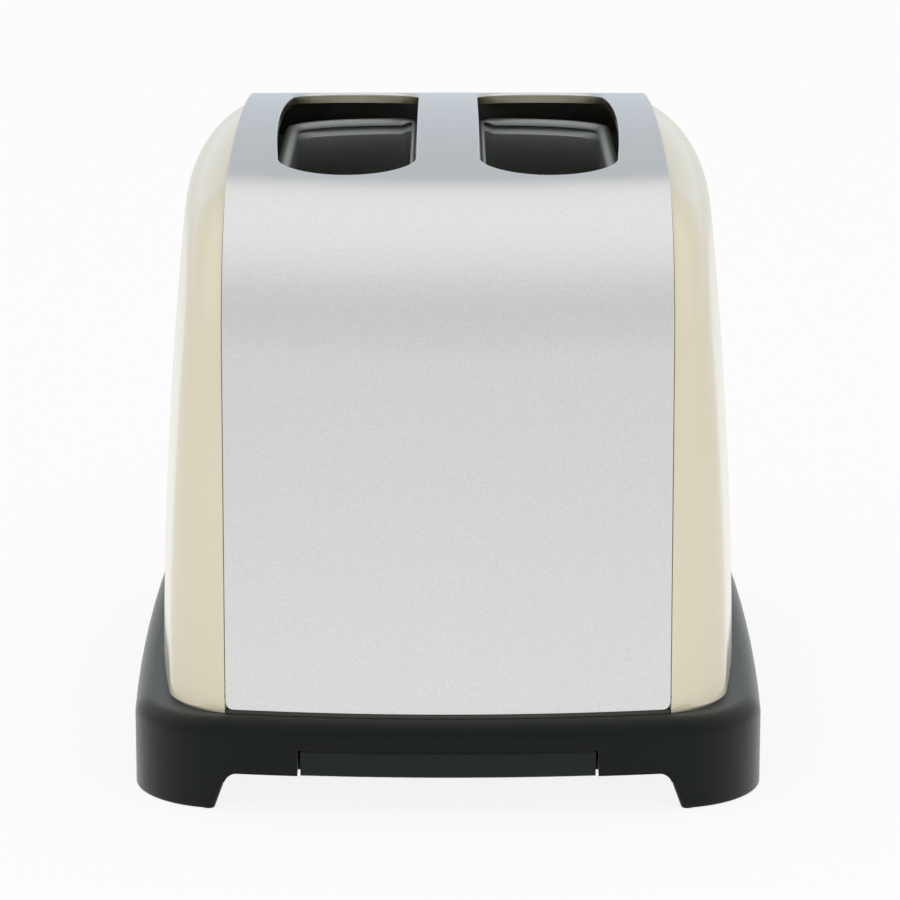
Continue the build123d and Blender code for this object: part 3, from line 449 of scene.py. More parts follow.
def holed_sheet(us: Array, vs: Array, rays: Rays, holes: Sequence[Hole] = ()) -> tuple[Surface, list[Surface]]:
    """A patch of the skin: a grid in u and v thrown onto it along rays, with openings.

    Args:
        us: the grid lines along u.
        vs: the grid lines along v.
        rays: gives the start and the direction of the ray for each u and v.
        holes: the openings; each takes a rectangle of the grid.

    Returns:
        The patch, facing outwards, and the turned-in flange of each opening, which may be empty.
    """
    u, v = np.meshgrid(us, vs)
    quads = grid_quads(len(vs), len(us))
    middle = np.stack([(u[:-1, :-1] + u[1:, 1:]) / 2, (v[:-1, :-1] + v[1:, 1:]) / 2], axis=-1).reshape(-1, 2)
    keep = np.ones(len(quads), bool)
    parts = [np.stack([u, v], axis=-1).reshape(-1, 2)]
    sinks = [np.zeros(u.size)]
    rings = []
    for hole in holes:
        low, high = np.array(hole.cell).reshape(2, 2).T
        keep &= ~((middle > low) & (middle < high)).all(axis=1)
        points, sink, faces = hole.ring(us, vs)
        rings.append(faces + sum(len(part) for part in parts))
        parts.append(points)
        sinks.append(sink)
    start, way = rays(np.concatenate(parts))
    sunk = meet(SKIN.wrap, start, way) - np.concatenate(sinks)[:, None] * way
    sheet = [Surface(sunk, quads[keep]).facing(way)]
    flanges = []
    for hole, ring in zip(holes, rings):
        rows = hole.rows + (hole.turns + FLANGE_ROWS if hole.roll else 0)
        outer = ring[: len(ring) * hole.rows // rows]
        upright = Surface(sunk, outer).facing(way).quads is outer
        ring = ring if upright else ring[:, ::-1]
        split = len(ring) * (rows - FLANGE_ROWS if hole.roll else rows) // rows
        sheet.append(Surface(sunk, ring[:split]))
        flanges.append(Surface(sunk, ring[split:]).trimmed())
    return joined(sheet).trimmed(), flanges


def arc_through(first: Pair, middle: Pair, last: Pair, count: int) -> Array:
    """Points on the circle through three points, whose centre is as far from each of them.

    Args:
        first: where the arc starts.
        middle: a point on its way.
        last: where it ends.
        count: how many points it gets; the last one is left to the arc that follows.

    Returns:
        One row of two coordinates per point.
    """
    (ax, ay), (bx, by), (cx, cy) = first, middle, last
    twice = 2 * (ax * (by - cy) + bx * (cy - ay) + cx * (ay - by))
    a, b, c = ax**2 + ay**2, bx**2 + by**2, cx**2 + cy**2
    x = (a * (by - cy) + b * (cy - ay) + c * (ay - by)) / twice
    y = (a * (cx - bx) + b * (ax - cx) + c * (bx - ax)) / twice
    start, way, stop = (math.atan2(q[1] - y, q[0] - x) for q in (first, middle, last))
    turn = (stop - start) % (2 * math.pi)
    if (way - start) % (2 * math.pi) > turn:
        turn -= 2 * math.pi
    angle = start + turn * np.linspace(0.0, 1.0, count, endpoint=False)
    radius = math.hypot(ax - x, ay - y)
    return coords(x + radius * np.cos(angle), y + radius * np.sin(angle))


# Finishes

NOISE_SPAN = (0.3, 0.7)
CLOUD_SPAN = (0.35, 0.65)
FULL_SPAN = (0.0, 1.0)
GRAIN_HEIGHT = 0.1


class Nodes:
    """A node tree, with short calls to add and join nodes."""

    def __init__(self, tree: bpy.types.NodeTree) -> None:
        """Takes a tree over and empties it."""
        self.tree = tree
        tree.nodes.clear()

    def add(self, kind: str, **values: object) -> bpy.types.Node:
        """A new node with its properties set.

        Args:
            kind: the node's type.
            values: property names and values.

        Returns:
            The node.
        """
        node = self.tree.nodes.new(kind)
        for key, value in values.items():
            setattr(node, key, value)
        return node

    def join(self, source: Socket, target: Socket) -> None:
        """Links two sockets."""
        self.tree.links.new(source, target)

    def maths(self, operation: str, first: Socket, second: Socket | float) -> Socket:
        """One step of arithmetic.

        Args:
            operation: the step's name.
            first: the first value.
            second: the second value, from a socket or as a number.

        Returns:
            The result.
        """
        node = self.add("ShaderNodeMath", operation=operation)
        self.join(first, node.inputs[0])
        if isinstance(second, float):
            node.inputs[1].default_value = second
        else:
            self.join(second, node.inputs[1])
        return node.outputs["Value"]

    def mixed(self, share: Socket, first: Socket, second: Socket, output: bpy.types.Node) -> None:
        """Sends two shaders to an output.

        Args:
            share: how much the second counts, from 0 to 1.
            first: the first shader.
            second: the second shader.
            output: the output node.
        """
        node = self.add("ShaderNodeMixShader")
        for source, place in ((share, 0), (first, 1), (second, 2)):
            self.join(source, node.inputs[place])
        self.join(node.outputs["Shader"], output.inputs["Surface"])


class Graph(Nodes):
    """A material's node tree, with a shader, an output and calls for patterns."""

    def __init__(self, name: str) -> None:
        """Starts a material with a shader that feeds its output.

        Args:
            name: the material's name.
        """
        self.material = bpy.data.materials.new(name)
        self.material.use_nodes = True
        super().__init__(self.material.node_tree)
        self.shader = self.add("ShaderNodeBsdfPrincipled")
        self.output = self.add("ShaderNodeOutputMaterial")
        self.join(self.shader.outputs["BSDF"], self.output.inputs["Surface"])

    def settle(self, **sockets: object) -> None:
        """Sets the shader's own sockets; an underscore in a name stands for a space."""
        for key, value in sockets.items():
            self.shader.inputs[key.replace("_", " ")].default_value = value

    def feed(self, name: str, source: Socket) -> None:
        """Links a pattern to one of the shader's sockets."""
        self.join(source, self.shader.inputs[name])

    def place(self, stretch: Triple = (1.0, 1.0, 1.0)) -> Socket:
        """Object coordinates.

        Args:
            stretch: a factor for each axis.

        Returns:
            The stretched coordinates.
        """
        where = self.add("ShaderNodeTexCoord")
        mapping = self.add("ShaderNodeMapping")
        mapping.inputs["Scale"].default_value = stretch
        self.join(where.outputs["Object"], mapping.inputs["Vector"])
        return mapping.outputs["Vector"]

    def noise(self, scale: float, detail: float, stretch: Triple = (1.0, 1.0, 1.0)) -> Socket:
        """A noise pattern.

        Args:
            scale: spots to the metre.
            detail: how many finer layers it has.
            stretch: a factor for each axis.

        Returns:
            The pattern's value, about one half on average.
        """
        node = self.add("ShaderNodeTexNoise")
        node.inputs["Scale"].default_value = scale
        node.inputs["Detail"].default_value = detail
        self.join(self.place(stretch), node.inputs["Vector"])
        return node.outputs["Fac"]

    def ramp(self, value: Socket, source: Pair, target: Pair) -> Socket:
        """A value carried from one range to another, held at its ends.

        Args:
            value: the value.
            source: the range that it comes from.
            target: the range that it goes to.

        Returns:
            The new value.
        """
        node = self.add("ShaderNodeMapRange")
        for name, number in zip(("From Min", "From Max", "To Min", "To Max"), (*source, *target)):
            node.inputs[name].default_value = number
        self.join(value, node.inputs["Value"])
        return node.outputs["Result"]

    def blend(self, value: Socket, first: Triple, last: Triple) -> Socket:
        """A colour between two.

        Args:
            value: how much of the last colour counts, from 0 to 1.
            first: the colour at 0.
            last: the colour at 1.

        Returns:
            The colour.
        """
        node = self.add("ShaderNodeMix", data_type="RGBA")
        for name, colour in (("A", first), ("B", last)):
            socket = next(s for s in node.inputs if s.name == name and s.type == "RGBA")
            socket.default_value = (*colour, 1.0)
        self.join(value, node.inputs["Factor"])
        return next(s for s in node.outputs if s.type == "RGBA")

    def bump(self, height: Socket, strength: float) -> None:
        """Raises the surface by a pattern a tenth of a millimetre high.

        Args:
            height: the pattern.
            strength: how much of it counts.
        """
        node = self.add("ShaderNodeBump")
        node.inputs["Strength"].default_value = strength
        node.inputs["Distance"].default_value = GRAIN_HEIGHT * MM
        self.join(height, node.inputs["Height"])
        self.feed("Normal", node.outputs["Normal"])


@dataclass(frozen=True)
class Metal:
    """A bare or plated metal sheet with a fine grain.

    Attributes:
        name: the finish's name.
        light: its colour on the grain's high spots.
        dark: its colour in the grain.
        rough: its lowest and highest roughness.
        grain: grains to the metre.
        relief: how far the grain counts in the light.
        stretch: the grain's factor along each axis, for a drawn or brushed sheet.
        bare: how far it is bare metal, less where it is dulled by heat.
    """

    name: str
    light: Triple
    dark: Triple
    rough: Pair
    grain: float
    relief: float
    stretch: Triple = (1.0, 1.0, 1.0)
    bare: float = 1.0

    def material(self) -> Material:
        """The finish as nodes: the grain sets the colour and the relief, and a wide cloud the roughness.

        Returns:
            The material.
        """
        graph = Graph(self.name)
        graph.settle(Metallic=self.bare)
        grain = graph.noise(self.grain, detail=2.0, stretch=self.stretch)
        cloud = graph.noise(scale=9.0, detail=3.0)
        graph.feed("Base Color", graph.blend(graph.ramp(grain, NOISE_SPAN, FULL_SPAN), self.dark, self.light))
        graph.feed("Roughness", graph.ramp(cloud, NOISE_SPAN, self.rough))
        graph.bump(grain, self.relief)
        return graph.material


@dataclass(frozen=True)
class Moulding:
    """A moulded plastic or a painted shell.

    Attributes:
        name: the finish's name.
        colour: its main colour.
        shade: the colour of its faint clouding.
        rough: its lowest and highest roughness.
        grain: grains to the metre of its texture.
        relief: how far that texture counts in the light.
        shine: the strength of its reflections, one half for a common plastic.
        sheen: the faint bloom that a matt plastic shows where it turns away.
        bloom: the colour of that bloom.
    """

    name: str
    colour: Triple
    shade: Triple
    rough: Pair
    grain: float
    relief: float
    shine: float = 0.5
    sheen: float = 0.0
    bloom: tuple[float, float, float, float] = (0.97, 1.0, 0.96, 1.0)

    def material(self) -> Material:
        """The finish as nodes: a wide cloud sets the colour, and the grain the roughness and the relief.

        Returns:
            The material.
        """
        graph = Graph(self.name)
        graph.settle(Specular_IOR_Level=self.shine)
        graph.settle(Sheen_Weight=self.sheen, Sheen_Roughness=0.5, Sheen_Tint=self.bloom)
        cloud = graph.noise(scale=14.0, detail=4.0)
        grain = graph.noise(self.grain, detail=3.0)
        graph.feed("Base Color", graph.blend(graph.ramp(cloud, CLOUD_SPAN, FULL_SPAN), self.shade, self.colour))
        graph.feed("Roughness", graph.ramp(grain, NOISE_SPAN, self.rough))
        graph.bump(grain, self.relief)
        return graph.material


class Finish(Enum):
    """Every finish on the toaster."""

    SATIN_STEEL = Metal("satin_steel", (0.803, 0.803, 0.799), (0.723, 0.723, 0.719), (0.32, 0.36), 1800.0, 0.10)
    # The slot flanges are the wrap sheet's own turned-in lip; this darker, warmer finish on them is a painted
    # reflection.
    FLANGE_PAINTED_REFLECTION = Metal("flange_painted_reflection", (0.31, 0.288, 0.22), (0.27, 0.25, 0.19), (0.2, 0.26), 1200.0, 0.03)
    LINER_STEEL = Metal(
        "liner_steel", (0.32, 0.34, 0.32), (0.27, 0.285, 0.27), (0.42, 0.5), 1400.0, 0.06, bare=0.7
    )
    CHASSIS_SHEET = Metal("chassis_sheet", (0.34, 0.35, 0.34), (0.24, 0.25, 0.24), (0.4, 0.55), 350.0, 0.08)
    TRAY_SHEET = Metal(
        "tray_sheet", (0.66, 0.67, 0.68), (0.56, 0.57, 0.58), (0.25, 0.38), 1200.0, 0.06, (1.0, 0.05, 1.0)
    )
    SPRING_STEEL = Metal("spring_steel", (0.36, 0.36, 0.38), (0.24, 0.24, 0.26), (0.25, 0.35), 900.0, 0.05)
    POLISHED_ROD = Metal(
        "polished_rod", (0.72, 0.72, 0.73), (0.64, 0.64, 0.65), (0.1, 0.2), 800.0, 0.03, (1.0, 1.0, 0.05)
    )
    GUARD_WIRE = Metal("guard_wire", (0.62, 0.61, 0.59), (0.48, 0.46, 0.43), (0.2, 0.34), 600.0, 0.05)
    MAGNET_IRON = Metal("magnet_iron", (0.22, 0.22, 0.23), (0.13, 0.13, 0.14), (0.4, 0.6), 700.0, 0.2)
    COPPER_WINDING = Metal(
        "copper_winding", (0.62, 0.3, 0.14), (0.42, 0.17, 0.07), (0.2, 0.4), 500.0, 0.3, (0.3, 0.3, 6.0)
    )
    HEATER_ALLOY = Metal("heater_alloy", (0.26, 0.24, 0.22), (0.14, 0.12, 0.11), (0.4, 0.6), 700.0, 0.1)
    CREAM_GLOSS = Moulding(
        "cream_gloss", (0.76, 0.705, 0.535), (0.74, 0.685, 0.515), (0.10, 0.15), 260.0, 0.003, 0.42
    )
    BLACK_PLASTIC = Moulding(
        "black_plastic", (0.0034, 0.0062, 0.0036), (0.0028, 0.0054, 0.0030), (0.28, 0.34), 2200.0, 0.06,
        shine=0.10, sheen=0.27,
    )
    LIP_PLASTIC = Moulding(
        "lip_plastic", (0.0098, 0.0136, 0.0104), (0.0086, 0.0122, 0.0092), (0.28, 0.34), 2200.0, 0.06,
        shine=0.12, sheen=0.27,
    )
    # The sill's finish is the base's black plastic made lighter and warmer: painted light on a strip that the
    # same black would show darker.
    SILL_PAINTED_LIGHT = Moulding(
        "sill_painted_light", (0.052, 0.049, 0.040), (0.046, 0.043, 0.035), (0.4, 0.5), 1500.0, 0.06, 0.3
    )
    SOFT_PAD = Moulding("soft_pad", (0.03, 0.03, 0.03), (0.02, 0.02, 0.02), (0.7, 0.85), 700.0, 0.2)
    BOARD_LAMINATE = Moulding("board_laminate", (0.3, 0.22, 0.08), (0.22, 0.16, 0.06), (0.4, 0.55), 900.0, 0.1)
    COMPONENT_BLACK = Moulding(
        "component_black", (0.03, 0.03, 0.034), (0.02, 0.02, 0.023), (0.35, 0.5), 1200.0, 0.1
    )
    PALE_PLASTIC = Moulding("pale_plastic", (0.66, 0.64, 0.58), (0.58, 0.56, 0.5), (0.4, 0.55), 900.0, 0.08)
    MICA = Moulding("mica", (0.42, 0.36, 0.25), (0.28, 0.23, 0.15), (0.3, 0.5), 120.0, 0.2)


def dress_nodes(finishes: dict[str, Material], split_angle: float = 28.0) -> None:
    """Gives every CAD node the finish of its material slot, and the tray's lip its own.

    Args:
        finishes: a material for each slot name.
        split_angle: the angle in degrees past which an edge stays sharp.
    """
    own = {"crumb_tray_lip": Finish.LIP_PLASTIC.value.name}
    for part in frame["record"]["subparts"]:
        node = frame["nodes"][part["node"]]
        node.data.materials.clear()
        node.data.materials.append(finishes[own.get(part["node"], part["material_slot"])])
        node.data.polygons.foreach_set("use_smooth", np.ones(len(node.data.polygons), bool))
        weld = node.modifiers.new("weld", "WELD")
        weld.merge_threshold = MERGE_REACH
        split = node.modifiers.new("sharp", "EDGE_SPLIT")
        split.split_angle = math.radians(split_angle)


# Sub-assemblies


@dataclass
class WrapBand:
    """The silver sheet: end, top and end in one piece, with two lipped slots and the control holes."""

    half_width: float = 66.5
    low: float = 29.8
    corner: float = 2.2
    sheet: float = 0.8
    edge: float = 0.15
    shoulder_y: float = 92.0
    near_shoulder_z: float = 134.0
    far_shoulder_z: float = 154.0
    slot_inner: float = 9.8
    slot_outer: float = 54.0
    slot_half: float = 86.0
    slot_bow: float = 2.0
    slot_roll: float = 0.9
    slot_flange: float = 2.6
    slot_lean: float = 0.5
    slot_edge: float = 0.12
    slot_cell: Pair = (3.5, 62.0)
    slot_points: tuple[int, int] = (160, 90)
    lever_half: float = 3.0
    lever_low: float = 66.0
    lever_high: float = 148.0
    lever_room: float = 8.0
    lever_cell: Pair = (60.0, 152.0)
    lever_points: tuple[int, int] = (60, 40)
    button_xs: tuple[float, ...] = (-52.0, -34.0, 34.0, 52.0)
    button_z: float = 48.0
    button_hole: float = 6.3
    button_rooms: Triple = (25.0, 43.0, 62.0)
    button_cell: Pair = (38.0, 58.0)
    button_points: int = 120
    control_rows: int = 4
    edge_lines: tuple[float, ...] = (64.3, 64.8, 65.3, 65.8, 66.2)
    step: float = 2.4
    turns: int = 33

    def slot_outline(self) -> Array:
        """The right-hand slot's plan: a straight inner side, round ends and a bowed outer side.

        Returns:
            One row of x and y per point.
        """
        straight = self.slot_half - (self.slot_outer - self.slot_inner) / 2
        shoulder = self.slot_outer - self.slot_bow
        apex = (self.slot_inner + shoulder) / 2
        sides, ends = self.slot_points
        inner = coords(self.slot_inner, np.linspace(straight, -straight, sides, endpoint=False))
        near = arc_through((self.slot_inner, -straight), (apex, -self.slot_half), (shoulder, -straight), ends)
        outer = arc_through((shoulder, -straight), (self.slot_outer, 0.0), (shoulder, straight), sides)
        far = arc_through((shoulder, straight), (apex, self.slot_half), (self.slot_inner, straight), ends)
        return np.concatenate([inner, near, outer, far])

    def lever_outline(self) -> Array:
        """The lever's upright slot, with round ends.

        Returns:
            One row of x and z per point.
        """
        low, high = self.lever_low + self.lever_half, self.lever_high - self.lever_half
        sides, ends = self.lever_points
        turn = np.linspace(0.0, math.pi, ends)
        across, along = self.lever_half * np.cos(turn), self.lever_half * np.sin(turn)
        rise = np.linspace(low, high, sides)[1:-1]
        left, right = coords(-self.lever_half, rise[::-1]), coords(self.lever_half, rise)
        return np.concatenate([coords(across, high + along), left, coords(-across, low - along), right])

    def button_outline(self, x: float) -> Array:
        """A round hole for a button."""
        turn = np.linspace(0.0, 2 * math.pi, self.button_points, endpoint=False)
        return coords(x + self.button_hole * np.cos(turn), self.button_z + self.button_hole * np.sin(turn))

    def slots(self) -> list[Hole]:
        """Both slots in the top, with their lips.

        Returns:
            The right-hand opening and its mirror image.
        """
        plan = self.slot_outline()
        near, far = self.slot_cell
        span = (-self.shoulder_y, self.shoulder_y)
        lip = (self.slot_roll, self.slot_flange, self.slot_lean)
        mirrored = plan[::-1] * [-1.0, 1.0]
        return [Hole((near, far, *span), plan, *lip), Hole((-far, -near, *span), mirrored, *lip)]

    def controls(self) -> list[Hole]:
        """The holes in the control end.

        Returns:
            The lever's slot, then a hole for each button.
        """
        lever = (-self.lever_room, self.lever_room, *self.lever_cell)
        holes = [Hole(lever, self.lever_outline(), rows=self.control_rows)]
        inner, middle, outer = self.button_rooms
        for x in self.button_xs:
            low, high = (inner, middle) if abs(x) < middle else (middle, outer)
            room = (low, high) if x > 0 else (-high, -low)
            holes.append(Hole((*room, *self.button_cell), self.button_outline(x), rows=self.control_rows))
        return holes

    def lifted(self, uv: Array) -> Array:
        """The height of each point, raised towards the foot to round the sheet's lower corners.

        Within the corner's radius r of the sheet's edge, at s into it, the foot rises by
        r - sqrt(r^2 - s^2), and points above it by less, down to nothing at the shoulder.

        Args:
            uv: the x and z of each point.

        Returns:
            The new z of each.
        """
        into = np.clip(np.abs(uv[:, 0]) - self.half_width + self.corner, 0.0, self.corner)
        lift = self.corner - np.sqrt(self.corner**2 - into**2)
        share = np.maximum(self.near_shoulder_z - uv[:, 1], 0.0) / (self.near_shoulder_z - self.low)
        return uv[:, 1] + lift * share

    def level(self, side: int) -> Rays:
        """Level rays out of one end, by x and z."""
        return lambda uv: (
            coords(uv[:, 0], side * self.shoulder_y, self.lifted(uv)),
            np.tile([0.0, side, 0.0], (len(uv), 1)),
        )

    def swung(self, side: int, z: float) -> Rays:
        """Rays from a line inside a shoulder, by x and angle."""
        return lambda uv: (
            coords(uv[:, 0], side * self.shoulder_y, z),
            coords(0.0, side * np.cos(uv[:, 1]), np.sin(uv[:, 1])),
        )

    def upright(self, uv: Array) -> tuple[Array, Array]:
        """Upright rays, by x and y."""
        return coords(uv[:, 0], uv[:, 1], self.near_shoulder_z), np.tile([0.0, 0.0, 1.0], (len(uv), 1))

    def surfaces(self) -> tuple[Surface, list[Surface]]:
        """The whole sheet, patch by patch: end, shoulder, top, shoulder and control end.

        Returns:
            The sheet, and the flange of each slot.
        """
        right = {*self.slot_cell, self.lever_room, *self.button_rooms, *self.edge_lines, self.half_width}
        xs = stops(sorted(right | {-x for x in right}), self.step)
        turn = np.linspace(0.0, math.pi / 2, self.turns)
        along = stops((-self.shoulder_y, self.shoulder_y), self.step)
        near_zs = stops((self.low, self.near_shoulder_z), self.step)
        far_zs = stops((self.low, *self.button_cell, *self.lever_cell, self.far_shoulder_z), self.step)
        top, flanges = holed_sheet(xs, along, self.upright, self.slots())
        patches = [
            holed_sheet(xs, near_zs, self.level(-1))[0],
            holed_sheet(xs, turn, self.swung(-1, self.near_shoulder_z))[0],
            top,
            holed_sheet(xs, turn, self.swung(1, self.far_shoulder_z))[0],
            holed_sheet(xs, far_zs, self.level(1), self.controls())[0],
        ]
        return joined(patches), flanges

    def build(self, finish: Material, bare: Material) -> None:
        """Makes the sheet and the flanges of its slots.

        Args:
            finish: the sheet's finish.
            bare: the flanges' finish, darker and warmer than the sheet's: a painted reflection.
        """
        sheet, flanges = self.surfaces()
        Build("wrap_sheet", "satin_steel", ("wrap_band",), self.sheet, self.edge).make(sheet, finish)
        for name, flange in zip(("right", "left"), flanges):
            Build(f"slot_flange_{name}", "liner_steel", (), self.sheet, self.slot_edge).make(flange, bare)


@dataclass
class BandSill:
    """The dark rim that closes the gap between the wrap sheet's foot and the base, at both ends."""

    half_width: float = 66.3
    low: float = 28.45
    high: float = 29.65
    set_back: float = 0.15
    depth: float = 3.0
    edge: float = 0.1
    columns: int = 41

    def surface(self, side: int) -> Surface:
        """A bar that follows the sheet's bow, closed at its ends.

        Args:
            side: -1 for the plain end, 1 for the control end.

        Returns:
            The bar's surface.
        """
        xs = np.linspace(-self.half_width, self.half_width, self.columns)
        start = coords(xs, side * WrapBand.shoulder_y, self.low)
        face = meet(SKIN.wrap, start, np.tile([0.0, side, 0.0], (self.columns, 1)))
        back, front = self.depth, self.set_back
        corners = ((back, self.high), (front, self.high), (front, self.low), (back, self.low))
        rings = [coords(xs, face[:, 1] - side * inset, z) for inset, z in corners]
        points = np.stack(rings, axis=1).reshape(-1, 3)
        first = np.arange(len(corners))
        caps = np.stack([first, first[::-1] + len(points) - len(corners)])
        faces = np.concatenate([grid_quads(self.columns, len(corners), closed=True), caps])
        return Surface(points, faces if side > 0 else faces[:, ::-1])

    def build(self, finish: Material) -> None:
        """Makes both bars."""
        for name, side in (("plain", -1), ("control", 1)):
            Build(f"band_sill_{name}", "black_plastic", edge=self.edge).make(self.surface(side), finish)


@dataclass
class LegRoots:
    """The hollow rounds where the inner sides of the legs run into the base's underside."""

    under: float = 11.55
    root_x: float = 65.85
    lean: float = 0.362
    radius: float = 4.2
    bury: float = 2.5
    base_reach: float = 141.0
    base_bow: float = 440.0
    length: float = 30.0
    set_back: float = 0.05
    turns: int = 9

    def surface(self) -> Surface:
        """The round of the right-hand leg at the control end.

        It is a prism with a hollow quarter round for its slope, and its end face follows the base's bow.

        Returns:
            The prism's surface.
        """
        tilt = math.atan(self.lean)
        reach = self.radius * math.tan((math.pi / 2 - tilt) / 2)
        turn = np.linspace(0.0, math.pi / 2 - tilt, self.turns)
        xs = self.root_x - reach + self.radius * np.sin(turn)
        zs = self.under - self.radius + self.radius * np.cos(turn)
        inside = self.root_x + self.bury
        profile = np.concatenate([coords(xs, zs), [[inside, zs[-1]], [inside, self.under]]])
        wall = self.base_reach - self.base_bow + np.sqrt(self.base_bow**2 - profile[:, 0] ** 2) - self.set_back
        ends = [coords(profile[:, 0], y, profile[:, 1]) for y in (wall, wall - self.length)]
        count = len(profile)
        fan = np.arange(count - 2)
        caps = coords(count - 1, fan, fan + 1)
        caps = np.concatenate([caps[:, ::-1], caps + count])
        return Surface(np.concatenate(ends), grid_quads(2, count, closed=True), caps)

    def build(self, finish: Material) -> None:
        """Makes the rounds of all four legs as one piece.

        Args:
            finish: the base's finish.
        """
        right = self.surface()
        pair = joined([right, right.mirrored()])
        Build("leg_roots", "black_plastic").make(joined([pair, pair.mirrored(axis=1)]), finish)


@dataclass
class SidePanel:
    """A cream side panel whose edge turns in and tucks behind the wrap sheet."""

    seam: float = 66.8
    lip: float = 6.0
    lip_inset: float = 1.1
    step_inset: float = 1.2
    wall: float = 1.2
    edge: float = 0.25
    bevel: float = 1.2
    lip_low: float = 32.8
    middle_z: float = 100.0
    trial_points: int = 1200
    seam_points: int = 260
    foot_points: int = 110
    rings: int = 48
    ring_growth: float = 1.3
    lip_rows: int = 5

    def outside(self, p: Array) -> Field:
        """The panel's outer surface: the skin, drawn in along the bevelled foot."""
        depth, normal = SKIN.whole(p)
        return depth + np.maximum(0.0, SKIN.foot + self.bevel - p[:, 2]), normal

    def tucked(self, p: Array) -> Field:
        """The lip's surface: a step below the skin, and clear of the wrap sheet.

        Args:
            p: the points.

        Returns:
            The distance outside it and its normal at each.
        """
        depth, normal = SKIN.whole(p)
        near, slope = SKIN.wrap(p)
        inner = near + self.lip_inset > depth + self.step_inset
        depth = np.where(inner, near + self.lip_inset, depth + self.step_inset)
        return depth, np.where(inner[:, None], slope, normal)

    def edge_line(self, surface: Shape, x: float, angles: Array) -> Array:
        """A surface's outline at one width, met by rays that fan out from the foot's middle.

        Args:
            surface: the surface.
            x: the width.
            angles: each ray's angle from level.

        Returns:
            One point per ray.
        """
        start = np.tile([x, 0.0, SKIN.foot], (len(angles), 1))
        return meet(surface, start, coords(0.0, np.cos(angles), np.sin(angles)))

    def seam_line(self) -> tuple[Array, Array]:
        """The panel's edge along the wrap sheet, in equal steps.

        Returns:
            The rays' angles and the points.
        """
        fine = np.linspace(0.0, math.pi, self.trial_points)
        trial = self.edge_line(self.outside, self.seam, fine)
        length = np.concatenate([[0.0], np.cumsum(np.linalg.norm(np.diff(trial, axis=0), axis=1))])
        angles = np.interp(np.linspace(0.0, length[-1], self.seam_points), length, fine)
        return angles, self.edge_line(self.outside, self.seam, angles)

    def surface(self) -> Surface:
        """The panel's dish and its turned-in lip.

        The dish's rings shrink from the panel's edge to its middle and are thrown sideways onto the skin.

        Returns:
            The right-hand panel's surface.
        """
        angles, edge = self.seam_line()
        foot_y = np.linspace(edge[-1, 1], edge[0, 1], self.foot_points + 1)[1:-1]
        outline = np.concatenate([edge, coords(self.seam, foot_y, SKIN.foot)])
        centre = np.array([self.seam, 0.0, self.middle_z])
        first = self.bevel / (self.middle_z - SKIN.foot)
        growth = np.linspace(0.0, 1.0, self.rings)[:-1] ** self.ring_growth
        shares = np.concatenate([[0.0], first + (1 - first) * growth])
        start = centre + (1 - shares)[:, None, None] * (outline - centre)
        rows, columns = start.shape[:2]
        flat = start.reshape(-1, 3)
        sideways = np.tile([1.0, 0.0, 0.0], (len(flat) + 1, 1))
        points = meet(self.outside, flat, sideways[1:])
        points[: len(edge)] = edge
        pole = meet(self.outside, centre[None], sideways[:1])
        last = np.arange(columns) + (rows - 1) * columns
        fan = coords(last, np.roll(last, -1), rows * columns)
        dish = Surface(np.concatenate([points, pole]), grid_quads(rows, columns, closed=True), fan)
        above = edge[:, 2] >= self.lip_low
        ins = np.linspace(self.seam, self.seam - self.lip, self.lip_rows)
        steps = [edge[above], *(self.edge_line(self.tucked, x, angles[above]) for x in ins)]
        lip = Surface(np.concatenate(steps), grid_quads(len(steps), len(steps[0])))
        outward = np.concatenate([SKIN.wrap(row)[1] for row in steps])
        return joined([dish.facing(sideways), lip.facing(outward)])

    def build(self, finish: Material) -> None:
        """Makes both panels.

        Args:
            finish: the panels' finish.
        """
        right = self.surface()
        for name, surface in (("right", right), ("left", right.mirrored())):
            build = Build(f"cream_panel_{name}", "cream_gloss", (f"side_panel_{name}",), self.wall, self.edge)
            build.make(surface, finish)


